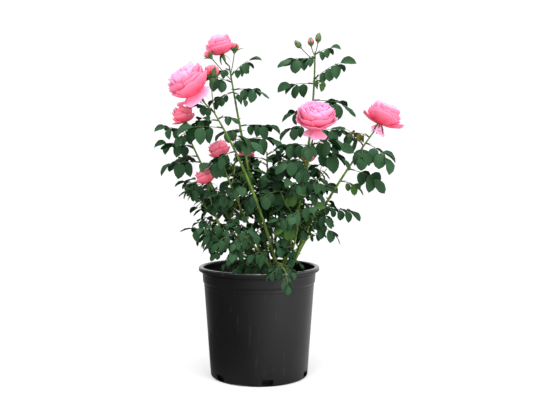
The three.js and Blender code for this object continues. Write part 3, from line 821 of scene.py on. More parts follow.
# Leaves that stand free of the crown are set one by one, from the tip down: share of the shoot,
# azimuth, rise of the stalk at its foot, how much it falls, reach, pairs of leaflets, colour.
FREE_LEAVES = {
    "front": [
        (0.99, 195, 50, 50, 0.056, 2, "deep"),
        (0.95, -25, 25, 45, 0.050, 2, "deep"),
        (0.94, 185, 8, 22, 0.062, 2, "middle"),
        (0.89, 205, 8, 16, 0.094, 2, "middle"),
        (0.81, -30, 12, 35, 0.080, 2, "middle"),
        (0.74, 210, -10, 25, 0.066, 2, "deep"),
    ],
    "left_tall": [
        (0.98, 225, 5, 40, 0.042, 2, "deep"),
        (0.95, -15, 52, 32, 0.080, 3, "middle"),
        (0.92, 205, 20, 14, 0.080, 2, "middle"),
        (0.885, -14, 8, 22, 0.078, 2, "middle"),
        (0.875, 205, -16, 20, 0.076, 3, "deep"),
        (0.71, -10, 10, 24, 0.092, 3, "deep"),
        (0.69, 215, 5, 30, 0.066, 2, "middle"),
        (0.64, -20, 18, 36, 0.092, 2, "middle"),
        (0.87, -45, -10, 40, 0.052, 3, "middle"),
    ],
    "right_tall": [
        (0.985, -22, 32, 24, 0.056, 2, "middle"),
        (0.97, 200, 2, 14, 0.083, 2, "middle"),
        (0.88, -20, 42, 28, 0.102, 3, "middle"),
        (0.862, 200, 2, 14, 0.080, 2, "deep"),
        (0.79, -14, 2, 24, 0.096, 2, "deep"),
        (0.74, 195, 6, 26, 0.068, 2, "deep"),
        (0.68, 200, 0, 28, 0.076, 2, "deep"),
        (0.66, -12, 8, 24, 0.090, 2, "middle"),
        (0.885, -66, -10, 40, 0.046, 2, "fresh"),
        (0.975, -130, 0, 40, 0.044, 2, "middle"),
    ],
    "middle": [
        (0.96, -100, 0, 40, 0.066, 2, "middle"),
        (0.95, -14, 6, 18, 0.084, 2, "deep"),
        (0.93, 190, 16, 24, 0.080, 2, "deep"),
        (0.84, 205, 5, 30, 0.080, 2, "middle"),
        (0.78, -110, 5, 40, 0.066, 2, "deep"),
        (0.70, -100, 0, 35, 0.076, 2, "middle"),
        (0.60, 175, 5, 30, 0.086, 2, "deep"),
        (0.90, -25, 0, 26, 0.092, 2, "deep"),
    ],
    "right": [
        (0.94, 190, 35, 40, 0.048, 2, "young"),
        (0.905, -50, -16, 30, 0.094, 2, "middle"),
        (0.885, -100, -10, 35, 0.078, 2, "deep"),
        (0.74, -15, -10, 24, 0.090, 2, "deep"),
        (0.66, -15, -2, 34, 0.058, 2, "fresh"),
        (0.62, 185, 20, 40, 0.060, 2, "deep"),
        (0.485, -12, 0, 20, 0.090, 3, "deep"),
        (0.45, 200, 10, 30, 0.076, 2, "deep"),
    ],
    "left": [
        (0.97, 185, 14, 14, 0.062, 2, "middle"),
        (0.955, 250, 5, 45, 0.056, 2, "middle"),
        (0.895, 172, 14, 14, 0.088, 3, "deep"),
        (0.885, 195, 26, 28, 0.070, 2, "deep"),
        (0.82, 205, 6, 20, 0.088, 2, "deep"),
        (0.80, -35, 10, 35, 0.062, 2, "deep"),
        (0.68, 192, 6, 18, 0.074, 2, "deep"),
    ],
    "low_right": [
        (0.97, -30, 10, 25, 0.044, 2, "deep"),
        (0.90, -60, 0, 35, 0.070, 2, "middle"),
        (0.69, -12, -2, 36, 0.084, 2, "middle"),
        (0.66, 200, 10, 30, 0.070, 2, "deep"),
        (0.55, -100, 0, 35, 0.074, 2, "deep"),
    ],
    "side_left": [
        (0.97, 185, 16, 14, 0.080, 2, "deep"),
        (0.92, 230, 0, 35, 0.066, 3, "deep"),
        (0.80, 165, 10, 30, 0.066, 2, "middle"),
        (0.72, 215, -10, 30, 0.066, 3, "deep"),
        (0.60, -110, 0, 35, 0.066, 3, "middle"),
    ],
    "trailing": [
        (0.97, -80, -30, 30, 0.056, 2, "middle"),
        (0.90, 205, -10, 30, 0.048, 2, "deep"),
        (0.80, -40, -10, 35, 0.046, 2, "middle"),
    ],
}
# Leaves at the foot of the crown that hang into the pot, in the same terms.
FOOT_LEAVES = {
    "side_left": [
        (0.24, -120, -5, 30, 0.060, 2, "deep"),
        (0.30, -118, 8, 18, 0.070, 3, "deep"),
        (0.38, 215, -15, 30, 0.060, 3, "deep"),
        (0.48, -115, -20, 25, 0.060, 2, "middle"),
        (0.55, 215, -20, 20, 0.062, 3, "deep"),
    ],
    "low_left": [
        (0.70, 185, 6, 20, 0.060, 3, "deep"),
        (0.62, 200, -5, 20, 0.060, 3, "middle"),
    ],
    "low_front": [
        (0.08, -110, 30, 60, 0.050, 2, "deep"),
        (0.15, -60, 10, 40, 0.056, 2, "deep"),
        (0.25, -100, 0, 35, 0.060, 3, "deep"),
        (0.34, 210, -10, 30, 0.060, 2, "middle"),
        (0.42, -80, -15, 25, 0.056, 3, "deep"),
        (0.55, -120, 0, 35, 0.060, 3, "deep"),
    ],
    "low_middle": [
        (0.10, -70, 20, 40, 0.050, 2, "deep"),
        (0.18, -120, 10, 40, 0.056, 3, "middle"),
        (0.26, -100, 0, 35, 0.056, 3, "deep"),
        (0.34, 20, -15, 35, 0.046, 3, "middle"),
        (0.42, -95, 0, 35, 0.062, 3, "deep"),
        (0.52, 200, 0, 30, 0.062, 3, "deep"),
    ],
    "middle": [
        (0.22, -90, 0, 35, 0.070, 3, "deep"),
        (0.29, -125, 0, 35, 0.070, 3, "middle"),
        (0.36, -70, 0, 35, 0.070, 3, "deep"),
        (0.44, -105, 0, 35, 0.074, 3, "deep"),
    ],
    "centre": [
        (0.18, -100, 10, 40, 0.070, 3, "deep"),
        (0.27, -80, 0, 40, 0.070, 3, "deep"),
        (0.36, -110, 0, 35, 0.074, 3, "middle"),
        (0.44, -70, 0, 35, 0.074, 3, "deep"),
    ],
    "trailing": [
        (0.36, -95, 30, 40, 0.044, 3, "deep"),
        (0.48, -125, 0, 40, 0.040, 3, "middle"),
        (0.56, -60, -10, 40, 0.046, 3, "deep"),
        (0.64, -95, -20, 40, 0.046, 3, "middle"),
        (0.74, -95, -20, 30, 0.042, 2, "deep"),
    ],
}


def lay_map(mesh, name, places):
    """Gives a mesh its own map, from one place for each of its corners."""
    layer = mesh.uv_layers.new(name=name)
    for loop in mesh.loops:
        layer.data[loop.index].uv = places[loop.vertex_index]


def leaflet(name, fold, curl, cup, twist, blunt):
    """One toothed leaflet of unit length along X: folded on its midrib, quilted between veins."""

    def half_width(v):
        return 0.5 * (math.sin(math.pi * v**1.02) ** 0.62) * (1 - 0.22 * v * (1 - blunt))

    corners, faces, uvs = [], [], []

    def surface(v, across):
        half = half_width(v)
        y = across * half
        quilt = 0.012 * math.sin(2 * math.pi * (v - 0.35 * abs(across)) * 6) * abs(across)
        z = fold * abs(y) - curl * v**2.2 + cup * 4 * v * (1 - v) * 0.1 + quilt + twist * y * v
        return Vector((v - 0.03 * curl * v * v, y, z))

    rows = []
    for i in range(TEETH + 1):
        v = i / TEETH
        row = []
        for j in range(-2, 3):
            across = j / 2
            row.append(len(corners))
            corners.append(surface(v, across))
            uvs.append((0.5 + 0.5 * across, v))
            if i in (0, TEETH):
                row = row * 5
                break
        rows.append(row)
    for a, b in zip(rows, rows[1:]):
        for j in range(4):
            face = [a[j], b[j], b[j + 1], a[j + 1]]
            face = [corner for k, corner in enumerate(face) if corner not in face[:k]]
            if len(face) > 2:
                faces.append(tuple(face[::-1]))
    for side, edge in ((-1, 0), (1, 4)):
        for i in range(1, TEETH - 1):
            a, b = rows[i][edge], rows[i + 1][edge]
            tooth_at = len(corners)
            corners.append(corners[a].lerp(corners[b], 0.86) + Vector((0.008, side * 0.022, 0.003)))
            uvs.append((0.5 + 0.5 * side, (i + 0.9) / TEETH))
            faces.append((a, tooth_at, b) if side < 0 else (a, b, tooth_at))
    first = len(corners)
    corners += [Vector((-0.06, -0.008, 0)), Vector((-0.06, 0.008, 0))]
    corners += [surface(0.06, -0.3), surface(0.06, 0.3)]
    uvs += [(0.5, 0)] * 4
    faces.append((first, first + 2, first + 3, first + 1))
    mesh = mesh_of(name, corners, faces)
    lay_map(mesh, "leaf", uvs)
    return bpy.data.objects.new(name, mesh)


leaflets = kept_shapes(
    "leaflet_shapes",
    [
        leaflet("leaflet_0_flat", 0.14, 0.10, 0.2, 0.0, 0.9),
        leaflet("leaflet_1_folded", 0.42, 0.16, 0.3, 0.1, 0.7),
        leaflet("leaflet_2_curled", 0.22, 0.30, 0.6, -0.15, 0.8),
        leaflet("leaflet_3_cupped", -0.14, 0.16, 0.8, 0.12, 0.9),
        leaflet("leaflet_4_twisted", 0.26, 0.2, 0.1, 0.35, 0.6),
    ],
)
KINDS = len(leaflets.objects)
leaf_places = {colour: Places() for colour in LEAF_COLOURS}
stipule_places = Places()
stalk_lines = Limbs()
twig_lines = Limbs()
FRONT_PATH = path_of(SHOOTS[ORDER["front"]])
FRONT_LANE = 0.011
LANE_LOW, LANE_HIGH = 0.272, 0.62


def before_front_cane(at):
    """Whether a place lies in the lane in front of the long front cane, which stands proud."""
    t = min((k / 40 for k in range(40)), key=lambda share: abs(on_path(FRONT_PATH, share).z - at.z))
    nearest = on_path(FRONT_PATH, t)
    beside = abs(at.x - nearest.x) < FRONT_LANE
    return beside and LANE_LOW < at.z < LANE_HIGH and at.y < nearest.y + 0.008


# Leaves that have dropped where the crown is open to the sky, by their shoot and their number on
# it: under 50 counted down from the tip, from 50 between those, from 100 on side twigs.
DROPPED = {
    "far_right": (0, 2, 3, 100, 102, 120, 121),
    "low_right": (4, 53, 120, 122),
    "low_middle": (3, 52, 100, 102),
    "low_left": (100, 120),
    "inner_left": (1,),
    "side_left": (51, 102, 120),
    "middle": (51, 52, 110, 122),
    "centre": (120,),
    "back_right": (51, 120),
    "right": (53,),
}


def grow_leaf(key, start, azimuth, rise, fall, reach, pairs, colour):
    """A whole leaf: an arching stalk, an end leaflet and pairs beside it."""
    if key[1] in DROPPED.get(SHOOTS[key[0]].name, ()):
        return
    middle = start + along(azimuth, rise) * (0.42 * reach)
    end = middle + along(azimuth, rise - fall) * (0.28 * reach)
    path = (start, middle, end)
    shares = shares_of(8)
    stalk_lines.add([on_path(path, t) for t in shares], [STALK_THICK - 0.0005 * t for t in shares])
    stipule_places.add(start, heading(path, 0), UP, (STIPULE_LONG, STIPULE_LONG, STIPULE_LONG))
    # leaves low in the crown stay smaller
    grown_size = min(1, 0.78 + max(0, start.z - 0.32) / 0.6)
    size = LEAF_LONG[pairs] * reach * grown_size
    places_of = leaf_places[colour]

    def blade(at, direction, long, use, shown=0):
        """One leaflet, unless it would hang before the front cane."""
        roll = math.radians(vary(-24, 24, *key, use + 50) + shown)
        lifted = Quaternion(direction, roll) @ UP
        wide = LEAF_WIDE * vary(0.9, 1.1, *key, use + 60)
        kind = int(KINDS * chance(*key, use + 70))
        if any(before_front_cane(at + direction * (share * long)) for share in (0.2, 0.55, 0.9)):
            return
        places_of.add(at + direction * (0.06 * long), direction, lifted, (long, long * wide, long), kind)

    tilt = vary(-15, 40, *key, 90) * math.cos(math.radians(azimuth))
    blade(end, along(azimuth, rise - fall - 12), size, 0, tilt)
    for pair, t in enumerate(PAIR_LEVELS[pairs]):
        for hand in (-1, 1):
            swing = hand * vary(48, 68, *key, 10 + pair)
            facing = -math.sin(math.radians(azimuth + swing))
            droop = vary(26, 42, *key, 20 + hand) + 28 * facing + 5 * pair
            long = size * (0.95 - 0.13 * pair) * vary(0.92, 1.06, *key, 30 + hand + 4 * pair)
            blade(on_path(path, t), along(azimuth + swing, -droop), long, 3 + hand + 4 * pair)


def leaf_on(path, t, azimuth_out, keys, reach, pairs, colour):
    """A leaf where it leaves its stem at a set angle, held low under a leaning stem."""
    order, k = keys
    stem = heading(path, t)
    out = squared(along(azimuth_out + vary(-14, 14, order, k, 1), 0), stem)
    angle = math.radians(vary(46, 66, order, k, 3))
    way = out * math.sin(angle) + stem * math.cos(angle)
    grow_leaf(
        keys,
        on_path(path, t),
        math.degrees(math.atan2(way.y, way.x)),
        min(58, math.degrees(math.asin(max(-1, min(1, way.z))))),
        vary(18, 40, order, k, 4),
        reach * vary(0.9, 1.12, order, k, 2),
        pairs,
        colour,
    )


def colour_of(order, k):
    """The spray's colour: most are deep, a few fresh."""
    pick = chance(order, k, 80)
    if pick > 0.93:
        return "fresh"
    return "deep" if pick < 0.5 else "middle"


for order, shoot in enumerate(SHOOTS):
    path = path_of(shoot)
    phase, turn, reach = shoot.phase, shoot.turn, shoot.reach
    for first, table in ((0, FREE_LEAVES), (FOOT_KEYS, FOOT_LEAVES)):
        for k, (t, azimuth, rise, fall, whole, many, colour) in enumerate(table.get(shoot.name, [])):
            grow_leaf((order, first + k), on_path(path, t), azimuth, rise, fall, whole, many, colour)
    for k in range(0 if shoot.name in FREE_LEAVES else shoot.leaves):
        t = leaf_share(shoot, k)
        young_share = min(1, 0.86 + 0.07 * k)
        many = 3 if chance(order, k, 81) > 0.4 else 2
        leaf_on(path, t, phase + k * turn, (order, k), reach * young_share, many, colour_of(order, k))
    for k in range(shoot.leaves - 1):
        if chance(order, k, 82) < shoot.filling:
            between = k + 0.5
            key = (order, FILLING_KEYS + k)
            out = phase + between * turn + 90
            leaf_on(path, leaf_share(shoot, between), out, key, 0.85 * reach, 2, colour_of(*key))
    for k in range(shoot.twigs * 3):
        t = 0.42 + 0.16 * k + vary(-0.04, 0.04, order, k, 83)
        stem = heading(path, t)
        start = on_path(path, t)
        twig_azimuth = phase + 137 * k + 60
        out = along(twig_azimuth, 20)
        long = vary(0.05, 0.09, order, k, 84)
        bend = start + (out * 0.8 + stem * 0.4) * (0.5 * long)
        side = (start, bend, start + (out + stem * 0.8).normalized() * long)
        shares = shares_of(8)
        twig_lines.add([on_path(side, j) for j in shares], [TWIG_THICK - 0.0007 * j for j in shares])
        for j in range(3):
            key = (order, TWIG_KEYS + 10 * k + j)
            leaf_on(side, 1 - 0.32 * j, twig_azimuth + 130 * j, key, 0.72 * reach, 2, colour_of(*key))

# Veins of a leaflet from its own map: a midrib and slanting side veins, as a mask.
veins, given, taken = group(
    "leaf_veins",
    "ShaderNodeTree",
    {
        "Pairs": ("NodeSocketFloat", 7.0),
        "Slant": ("NodeSocketFloat", 0.55),
        "Width": ("NodeSocketFloat", 0.12),
    },
    {"Mask": "NodeSocketFloat"},
)
flat = coordinates(veins, "UV")
aside = maths(veins, "ABSOLUTE", maths(veins, "SUBTRACT", flat["X"], 0.5))
level = maths(veins, "SUBTRACT", flat["Y"], maths(veins, "MULTIPLY", aside, given["Slant"]))
within = maths(veins, "PINGPONG", maths(veins, "MULTIPLY", level, given["Pairs"]), 0.5)
side_vein = maths(veins, "LESS_THAN", within, given["Width"])
midrib = maths(veins, "LESS_THAN", aside, 0.03)
veins.links.new(maths(veins, "MAXIMUM", side_vein, midrib), taken.inputs["Mask"])


def leaf_finish(name, upper, patch, vein, under, roughness):
    """Leaf skin: its own green with soft patches, paler veins and a pale dull underside."""
    material, tree, shader = finish(name, upper, Roughness=roughness, Specular_IOR_Level=0.05)
    ribs = put(tree, "ShaderNodeGroup", node_tree=veins).outputs["Mask"]
    patches = mottled(tree, 45, 0.38, 0.62)
    half = maths(tree, "MULTIPLY", ribs, 0.45)
    skin_colour = blended(tree, half, blended(tree, patches, upper, patch), vein)
    back = put(tree, "ShaderNodeNewGeometry").outputs["Backfacing"]
    painted(tree, shader, back, skin_colour, under)
    relief(tree, shader, ribs, 0.25, 0.0008)
    return material


# Upper side, its patches, its veins, the underside, and roughness.
LEAF_SKINS = {
    "deep": [(0.004, 0.023, 0.007), (0.006, 0.031, 0.009), (0.02, 0.068, 0.016), (0.024, 0.065, 0.027), 0.5],
    "middle": [
        (0.008, 0.038, 0.013), (0.014, 0.053, 0.017), (0.032, 0.095, 0.024), (0.032, 0.082, 0.036), 0.5
    ],
    "fresh": [(0.022, 0.078, 0.008), (0.035, 0.1, 0.011), (0.06, 0.14, 0.024), (0.045, 0.1, 0.024), 0.5],
    "young": [(0.07, 0.1, 0.014), (0.13, 0.06, 0.02), (0.12, 0.14, 0.03), (0.1, 0.1, 0.03), 0.45],
}
foliage_nodes = [name for name in nodes if name.startswith("foliage_")]
for colour in LEAF_COLOURS:
    skin = leaf_finish(f"leaf_{colour}", *LEAF_SKINS[colour])
    base = leaf_places[colour].cloud(f"places_{colour}")
    piece = grown(f"leaves_{colour}", deal, base, Shapes=leaflets, Finish=skin)
    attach(piece, "root")
    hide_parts(*foliage_nodes)

stalk_skin, tree, shader = finish("stalk_skin", (0.07, 0.13, 0.03), Roughness=0.5)
blush = mottled(tree, 60, 0.4, 0.6)
painted(tree, shader, blush, (0.03, 0.075, 0.02), (0.075, 0.08, 0.025))
relief(tree, shader, blush, 0.2, 0.0003)
leaf_stalks = grown(
    "leaf_stalks", sweep, stalk_lines.lines("stalk_lines"),
    Sides=5, Roughness=0.0, Grain=300.0, Finish=stalk_skin,
)
side_twigs = grown(
    "side_twigs", sweep, twig_lines.lines("twig_lines"),
    Sides=7, Roughness=0.0004, Grain=300.0, Finish=cane_bark,
)


def stipule(name):
    """The pair of narrow wings at the foot of a leaf stalk."""
    corners = []
    for x, half in ((0, 0.05), (0.35, 0.13), (0.7, 0.14), (0.9, 0.22), (1.25, 0.3)):
        for side in (-1, 0, 1):
            reach_out = x if side or x < 1 else 0.95
            corners.append((reach_out, side * half, 0.10 * abs(side) + 0.05))
    faces = []
    for k in range(4):
        a, b = 3 * k, 3 * k + 3
        faces += [(a + 1, a, b, b + 1), (a + 2, a + 1, b + 1, b + 2)]
    return bpy.data.objects.new(name, mesh_of(name, corners, faces))


stipules = grown(
    "stipules", deal, stipule_places.cloud("stipule_places"),
    Shapes=kept_shapes("stipule_shapes", [stipule("stipule")]), Finish=stalk_skin,
)
for piece in (leaf_stalks, side_twigs, stipules):
    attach(piece, "root")
    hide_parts(*foliage_nodes)

# ------------------------------------------------------------------ double blooms
# Each flower is a cupped double rose of some fifty petals in rings on a green hip: pale lilac pink
# inside, coral on the backs. The outer petals lean out, and on some blooms a few hang loose.

# Name, place, azimuth and rise of its look, size, height for its width, how far the outer petals
# lean out, the shoot that carries it, and its tone.
BLOOMS = [
    ("great_left", mm(-136, -82, 646), (200, 52), 0.096, 1.38, 6, "front", "pink"),
    ("great_middle", mm(127, -60, 575), (-90, 60), 0.096, 1.15, 4, "middle", "pink"),
    ("great_right", mm(276, -20, 583), (16, 66), 0.082, 1.2, 6, "right", "pink"),
    ("top_left", mm(-85, -5, 742), (178, 74), 0.066, 1.35, 6, "left_tall", "pink"),
    ("half_open", mm(-166, -39, 585), (178, 76), 0.054, 1.4, 6, "left", "coral"),
    ("nodding", mm(-83, -41, 508), (185, 66), 0.054, 1.4, 6, "inner_left", "coral"),
    ("low_left", mm(-114, -50, 449), (170, 66), 0.050, 1.4, 6, "low_left", "coral"),
    ("back_right", mm(111, 90, 499), (-60, 62), 0.046, 1.4, 3, "back_right", "coral"),
    ("back_left", mm(-34, 70, 499), (-60, 60), 0.044, 1.4, 3, "back_left", "coral"),
]
# Petals that have left the cup: turn round the flower, lean, how far they close in, length as a
# share of the ball, half their spread, how far up the flower they start.
FALLEN = {
    "great_left": [(-96, 66, 46, 1.6, 0.85, 0.6), (196, 26, 66, 1.6, 0.60, 0)],
    "great_middle": [(-80, 46, 30, 1.2, 0.56, 0.15), (-130, 48, 30, 1.05, 0.54, 0.15)],
    "great_right": [
        (178, 12, 58, 1.7, 0.46, 0),
        (-4, 8, 50, 1.9, 0.46, 0),
        (-130, 84, 34, 1.0, 0.6, 0.2),
        (-50, 84, 34, 1.2, 0.6, 0.2),
    ],
    "half_open": [(215, 30, 60, 1.8, 0.7, 0.15)],
}
# Rings of petals from the outside in: how many, radius and height as shares of the ball, how far
# they close in, how wide they are, and how much each one tucks under the next.
RINGS = [
    (5, 1.24, 0.84, 84, 0.80, 0.03),
    (5, 1.16, 0.98, 91, 0.72, 0.05),
    (6, 1.05, 1.06, 97, 0.62, 0.08),
    (6, 0.92, 1.10, 101, 0.58, 0.10),
    (7, 0.78, 1.10, 104, 0.56, 0.13),
    (7, 0.63, 1.08, 106, 0.56, 0.17),
    (6, 0.48, 1.05, 108, 0.62, 0.21),
    (5, 0.34, 1.01, 110, 0.75, 0.27),
    (4, 0.20, 0.97, 112, 0.95, 0.34),
]
SMALL_RINGS = RINGS[0:1] + RINGS[2:6] + RINGS[7:8]
FULL_BLOOM = 0.06
BALL = 0.36
BLOOM_KEYS = 60
PETAL_ACROSS = 8
PETAL_UP = 8
PETAL_THICK = 0.0005


def petal(ball, turn, radius, tall, cup, span, tuck, lean, key, claw=0.3):
    """The grid of one cupped petal that stands on the calyx: rows from its claw to its rim."""
    rows = []
    wave = 6.283 * chance(*key, 1)
    notch = vary(0.02, 0.07, *key, 2)
    flare = vary(0.05, 0.16, *key, 3)
    pose = Matrix.Rotation(turn, 3, "Z") @ Matrix.Rotation(math.radians(lean), 3, "Y")
    for i in range(PETAL_UP + 1):
        v = i / PETAL_UP
        row = []
        wide = span * (claw + (1 - claw) * math.sin(0.5 * math.pi * min(1, 1.25 * v)))
        for j in range(PETAL_ACROSS + 1):
            u = 2 * j / PETAL_ACROSS - 1
            trim = 1 - 0.13 * abs(u) ** 3 * v - notch * v**3 * math.exp(-((u / 0.3) ** 2))
            rise = math.radians(cup) * v * trim
            ruffle = 1 + 0.05 * v**3 * math.sin(4.5 * u + wave) + 0.02 * v**2 * math.sin(11 * u + 2 * wave)
            shell = radius * ball * ruffle * (1 + tuck * u)
            out = shell * math.sin(rise) + flare * ball * max(0, v - 0.68) ** 1.6 * 2.2
            up = tall * ball * (1 - math.cos(rise)) - flare * ball * max(0, v - 0.8) ** 1.4
            row.append(pose @ Vector((out * math.cos(u * wide), out * math.sin(u * wide), up)))
        rows.append(row)
    return rows


class Sheets:
    """Grids of points joined into one mesh, each with its own map: across, and up from the foot."""

    def __init__(self):
        self.corners, self.faces, self.uvs, self.slots = [], [], [], []

    def add(self, rows, place, slot=0):
        first = len(self.corners)
        across, up = len(rows[0]), len(rows)
        self.corners += [tuple(place @ point) for row in rows for point in row]
        self.uvs += [(j / (across - 1), i / (up - 1)) for i in range(up) for j in range(across)]
        for i in range(up - 1):
            for j in range(across - 1):
                a = first + i * across + j
                self.faces.append((a, a + 1, a + across + 1, a + across))
                self.slots.append(slot)

    def mesh(self, name):
        mesh = mesh_of(name, self.corners, self.faces)
        lay_map(mesh, "petal", self.uvs)
        mesh.polygons.foreach_set("material_index", self.slots)
        return mesh


def seated(at, azimuth, rise):
    """The matrix that turns a flower built upright at the origin to its place and look."""
    turn = UP.rotation_difference(along(azimuth, rise))
    return Matrix.Translation(at) @ turn.to_matrix().to_4x4()


def petal_finish(name, foot, middle, rim):
    """Petal skin that runs from its foot through its middle to its rim, with fine streaks."""
    material, tree, shader = finish(name, middle, Roughness=0.6, Specular_IOR_Level=0.06)
    height = coordinates(tree, "UV")["Y"]
    colour = blended(tree, ramped(tree, height, 0.15, 0.65), foot, middle)
    colour = blended(tree, ramped(tree, height, 0.6, 1.0), colour, rim)
    map_place = put(tree, "ShaderNodeTexCoord").outputs["UV"]
    spread = maths(tree, "MULTIPLY", map_place, (46.0, 2.5, 1.0), kind="ShaderNodeVectorMath")
    streaks = put(tree, "ShaderNodeTexNoise", {"Vector": spread, "Scale": 1.0, "Detail": 3.0})
    faint = maths(tree, "MULTIPLY", mottled(tree, 70, 0.4, 0.65), 0.3)
    painted(tree, shader, faint, colour, rim)
    relief(tree, shader, streaks.outputs["Fac"], 0.18, 0.0006)
    return material


PETAL_INSIDE = petal_finish("petal_inside", (0.92, 0.16, 0.27), (0.94, 0.33, 0.52), (0.95, 0.45, 0.72))
PETAL_OUTSIDE = petal_finish("petal_outside", (0.9, 0.05, 0.09), (0.92, 0.11, 0.2), (0.93, 0.25, 0.4))
PETAL_HEART = petal_finish("petal_heart", (0.92, 0.14, 0.24), (0.94, 0.3, 0.46), (0.95, 0.46, 0.7))
PETAL_CORAL = petal_finish("petal_coral", (0.9, 0.06, 0.08), (0.93, 0.12, 0.17), (0.95, 0.25, 0.36))


def thickened(piece, thick, offset):
    """Gives a piece of thin sheets their thickness."""
    wall = piece.modifiers.new("thickness", "SOLIDIFY")
    wall.thickness = thick
    wall.offset = offset
    return wall


def petal_piece(name, sheets, backs, replaced):
    """Petals as a piece, given their thickness, with their backs in a finish of their own."""
    piece = piece_of(name, sheets.mesh(name))
    for skin in (backs, PETAL_INSIDE, PETAL_HEART, PETAL_INSIDE):
        piece.data.materials.append(skin)
    wall = thickened(piece, PETAL_THICK, -1)
    wall.material_offset = 1
    wall.material_offset_rim = 0
    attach(piece, "root")
    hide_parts(*replaced)


for number, (name, at, face, size, depth, open_out, _, tone) in enumerate(BLOOMS):
    sheets = Sheets()
    ball = BALL * size
    place = seated(at, *face)
    rings = RINGS if size > FULL_BLOOM else SMALL_RINGS
    for ring, (count, radius, tall, cup, span, tuck) in enumerate(rings):
        for k in range(count):
            key = (BLOOM_KEYS + number, 20 * ring + k)
            lean = open_out * max(0, 1 - 0.4 * ring) + vary(-3, 3, *key, 4)
            turn = 2 * math.pi * (k + 0.5) / count
            if ring > 0:
                turn += 0.63 * ring + vary(-0.08, 0.08, *key, 5)
            standing = depth * tall * vary(0.84, 1.06, *key, 6)
            slot = 2 if ring > 2 and tone == "pink" else 0
            sheets.add(petal(ball, turn, radius, standing, cup, span, tuck, lean, key), place, slot)
    for k, (turn, lean, cup, long, span, start) in enumerate(FALLEN.get(name, [])):
        radius = long / math.radians(cup)
        key = (BLOOM_KEYS + number, 200 + k)
        foot = place @ Matrix.Translation((0, 0, start * ball))
        sheets.add(petal(ball, math.radians(turn), radius, radius, cup, span, 0.03, lean, key, 0.8), foot)
    backs = PETAL_CORAL if tone == "coral" else PETAL_OUTSIDE
    petal_piece(f"rose_{name}", sheets, backs, [f"bloom_{name}"])

# ------------------------------------------------------------------ flower stalks, hips, sepals, buds
# Under each bloom a slim stalk ends in a green hip with five pointed sepals turned back. The buds
# are furled coral petals held in sepals that part at the tip.

# Place, azimuth and rise of its look, size, the shoot that carries it, and how far up that is.
BUDS = [
    (mm(-104, -62, 681), (0, 86), 0.037, "front", 0.98),
    (mm(-56, -5, 749), (20, 84), 0.023, "left_tall", 0.96),
    (mm(-109, -22, 733), (185, 50), 0.022, "left_tall", 0.93),
    (mm(137, 22, 776), (10, 84), 0.019, "right_tall", 0.99),
    (mm(121, 22, 768), (185, 84), 0.020, "right_tall", 0.98),
    (mm(95, 15, 762), (175, 50), 0.018, "right_tall", 0.96),
]
BUD_OWNERS = ("front", "left_tall", "right_tall")
# Whorls of a bud's petals from the outside in: how many, girth and height as shares.
BUD_WHORLS = [(3, 1.0, 0.94), (3, 0.9, 1.0), (3, 0.7, 1.02)]
# A hip's outline: radius and height in the hip's own radius.
HIP = [(0, -0.8), (0.35, -0.72), (0.75, -0.4), (1.0, 0.0), (0.92, 0.35), (0.7, 0.55), (0.85, 0.75), (0, 0.85)]
HIP_SIDES = 10
HIP_RADIUS = 0.0042
HIP_DOWN = 0.004
SEPALS = 5
SEPAL_THICK = 0.0005
SEPAL_KEYS = 70
BUD_KEYS = 90
CLOSED_BUD = 0.0205
SMALL_BUD = 0.02
BLOOM_STALK = 0.0017
BUD_STALK = 0.0011
flower_stalks = Limbs()
hip_sheets = Sheets()
sepal_sheets = Sheets()
bud_sheets = Sheets()


def pedicel(at, face, owner, share, radius):
    """The stalk from a shoot to a flower, bending to meet it from below and swelling into its hip."""
    start = on_path(path_of(SHOOTS[ORDER[owner]]), share)
    bend = at - along(*face) * (0.45 * (start - at).length)
    path = (start, bend, at)
    shares = shares_of(14)
    flower_stalks.add([on_path(path, t) for t in shares], [radius * (1 + 0.25 * t**4) for t in shares])


def sepal(turn, foot, long, wide, lean, curl):
    """A pointed sepal from the hip's rim: rows from its foot to its tip."""
    rows = []
    out_way = Vector((math.cos(turn), math.sin(turn), 0))
    side_way = Vector((-math.sin(turn), math.cos(turn), 0))
    for v in shares_of(6):
        half = 0.5 * wide * (1 - v) ** 0.6 * (0.75 + 0.5 * math.sin(math.pi * v))
        bend = math.radians(lean + curl * v)
        out = foot + long * v * math.cos(bend)
        up = long * v * math.sin(bend)
        edge = out - 0.15 * half
        rows.append([out_way * along_it + side_way * aside + UP * up
                     for along_it, aside in ((edge, -half), (out, 0), (edge, half))])
    return rows


def hip(place, radius):
    """The green hip under a flower, a small lathe form."""
    turns = [2 * math.pi * k / HIP_SIDES for k in range(HIP_SIDES + 1)]
    rows = [[Vector((r * math.cos(a), r * math.sin(a), 1.5 * z)) * radius for a in turns] for r, z in HIP]
    hip_sheets.add(rows, place)


for number, (_, at, face, size, _, _, owner, _) in enumerate(BLOOMS):
    place = seated(at, *face)
    lowered = along(*face) * HIP_DOWN
    pedicel(at - lowered, face, owner, 1.0, BLOOM_STALK)
    hip(Matrix.Translation(-lowered) @ place, HIP_RADIUS)
    for k in range(SEPALS):
        droop = vary(-68, -30, SEPAL_KEYS + number, k, 1)
        sepal_sheets.add(sepal(2 * math.pi * k / SEPALS, 0.003, 0.018 + 0.1 * size, 0.007, droop, -25), place)

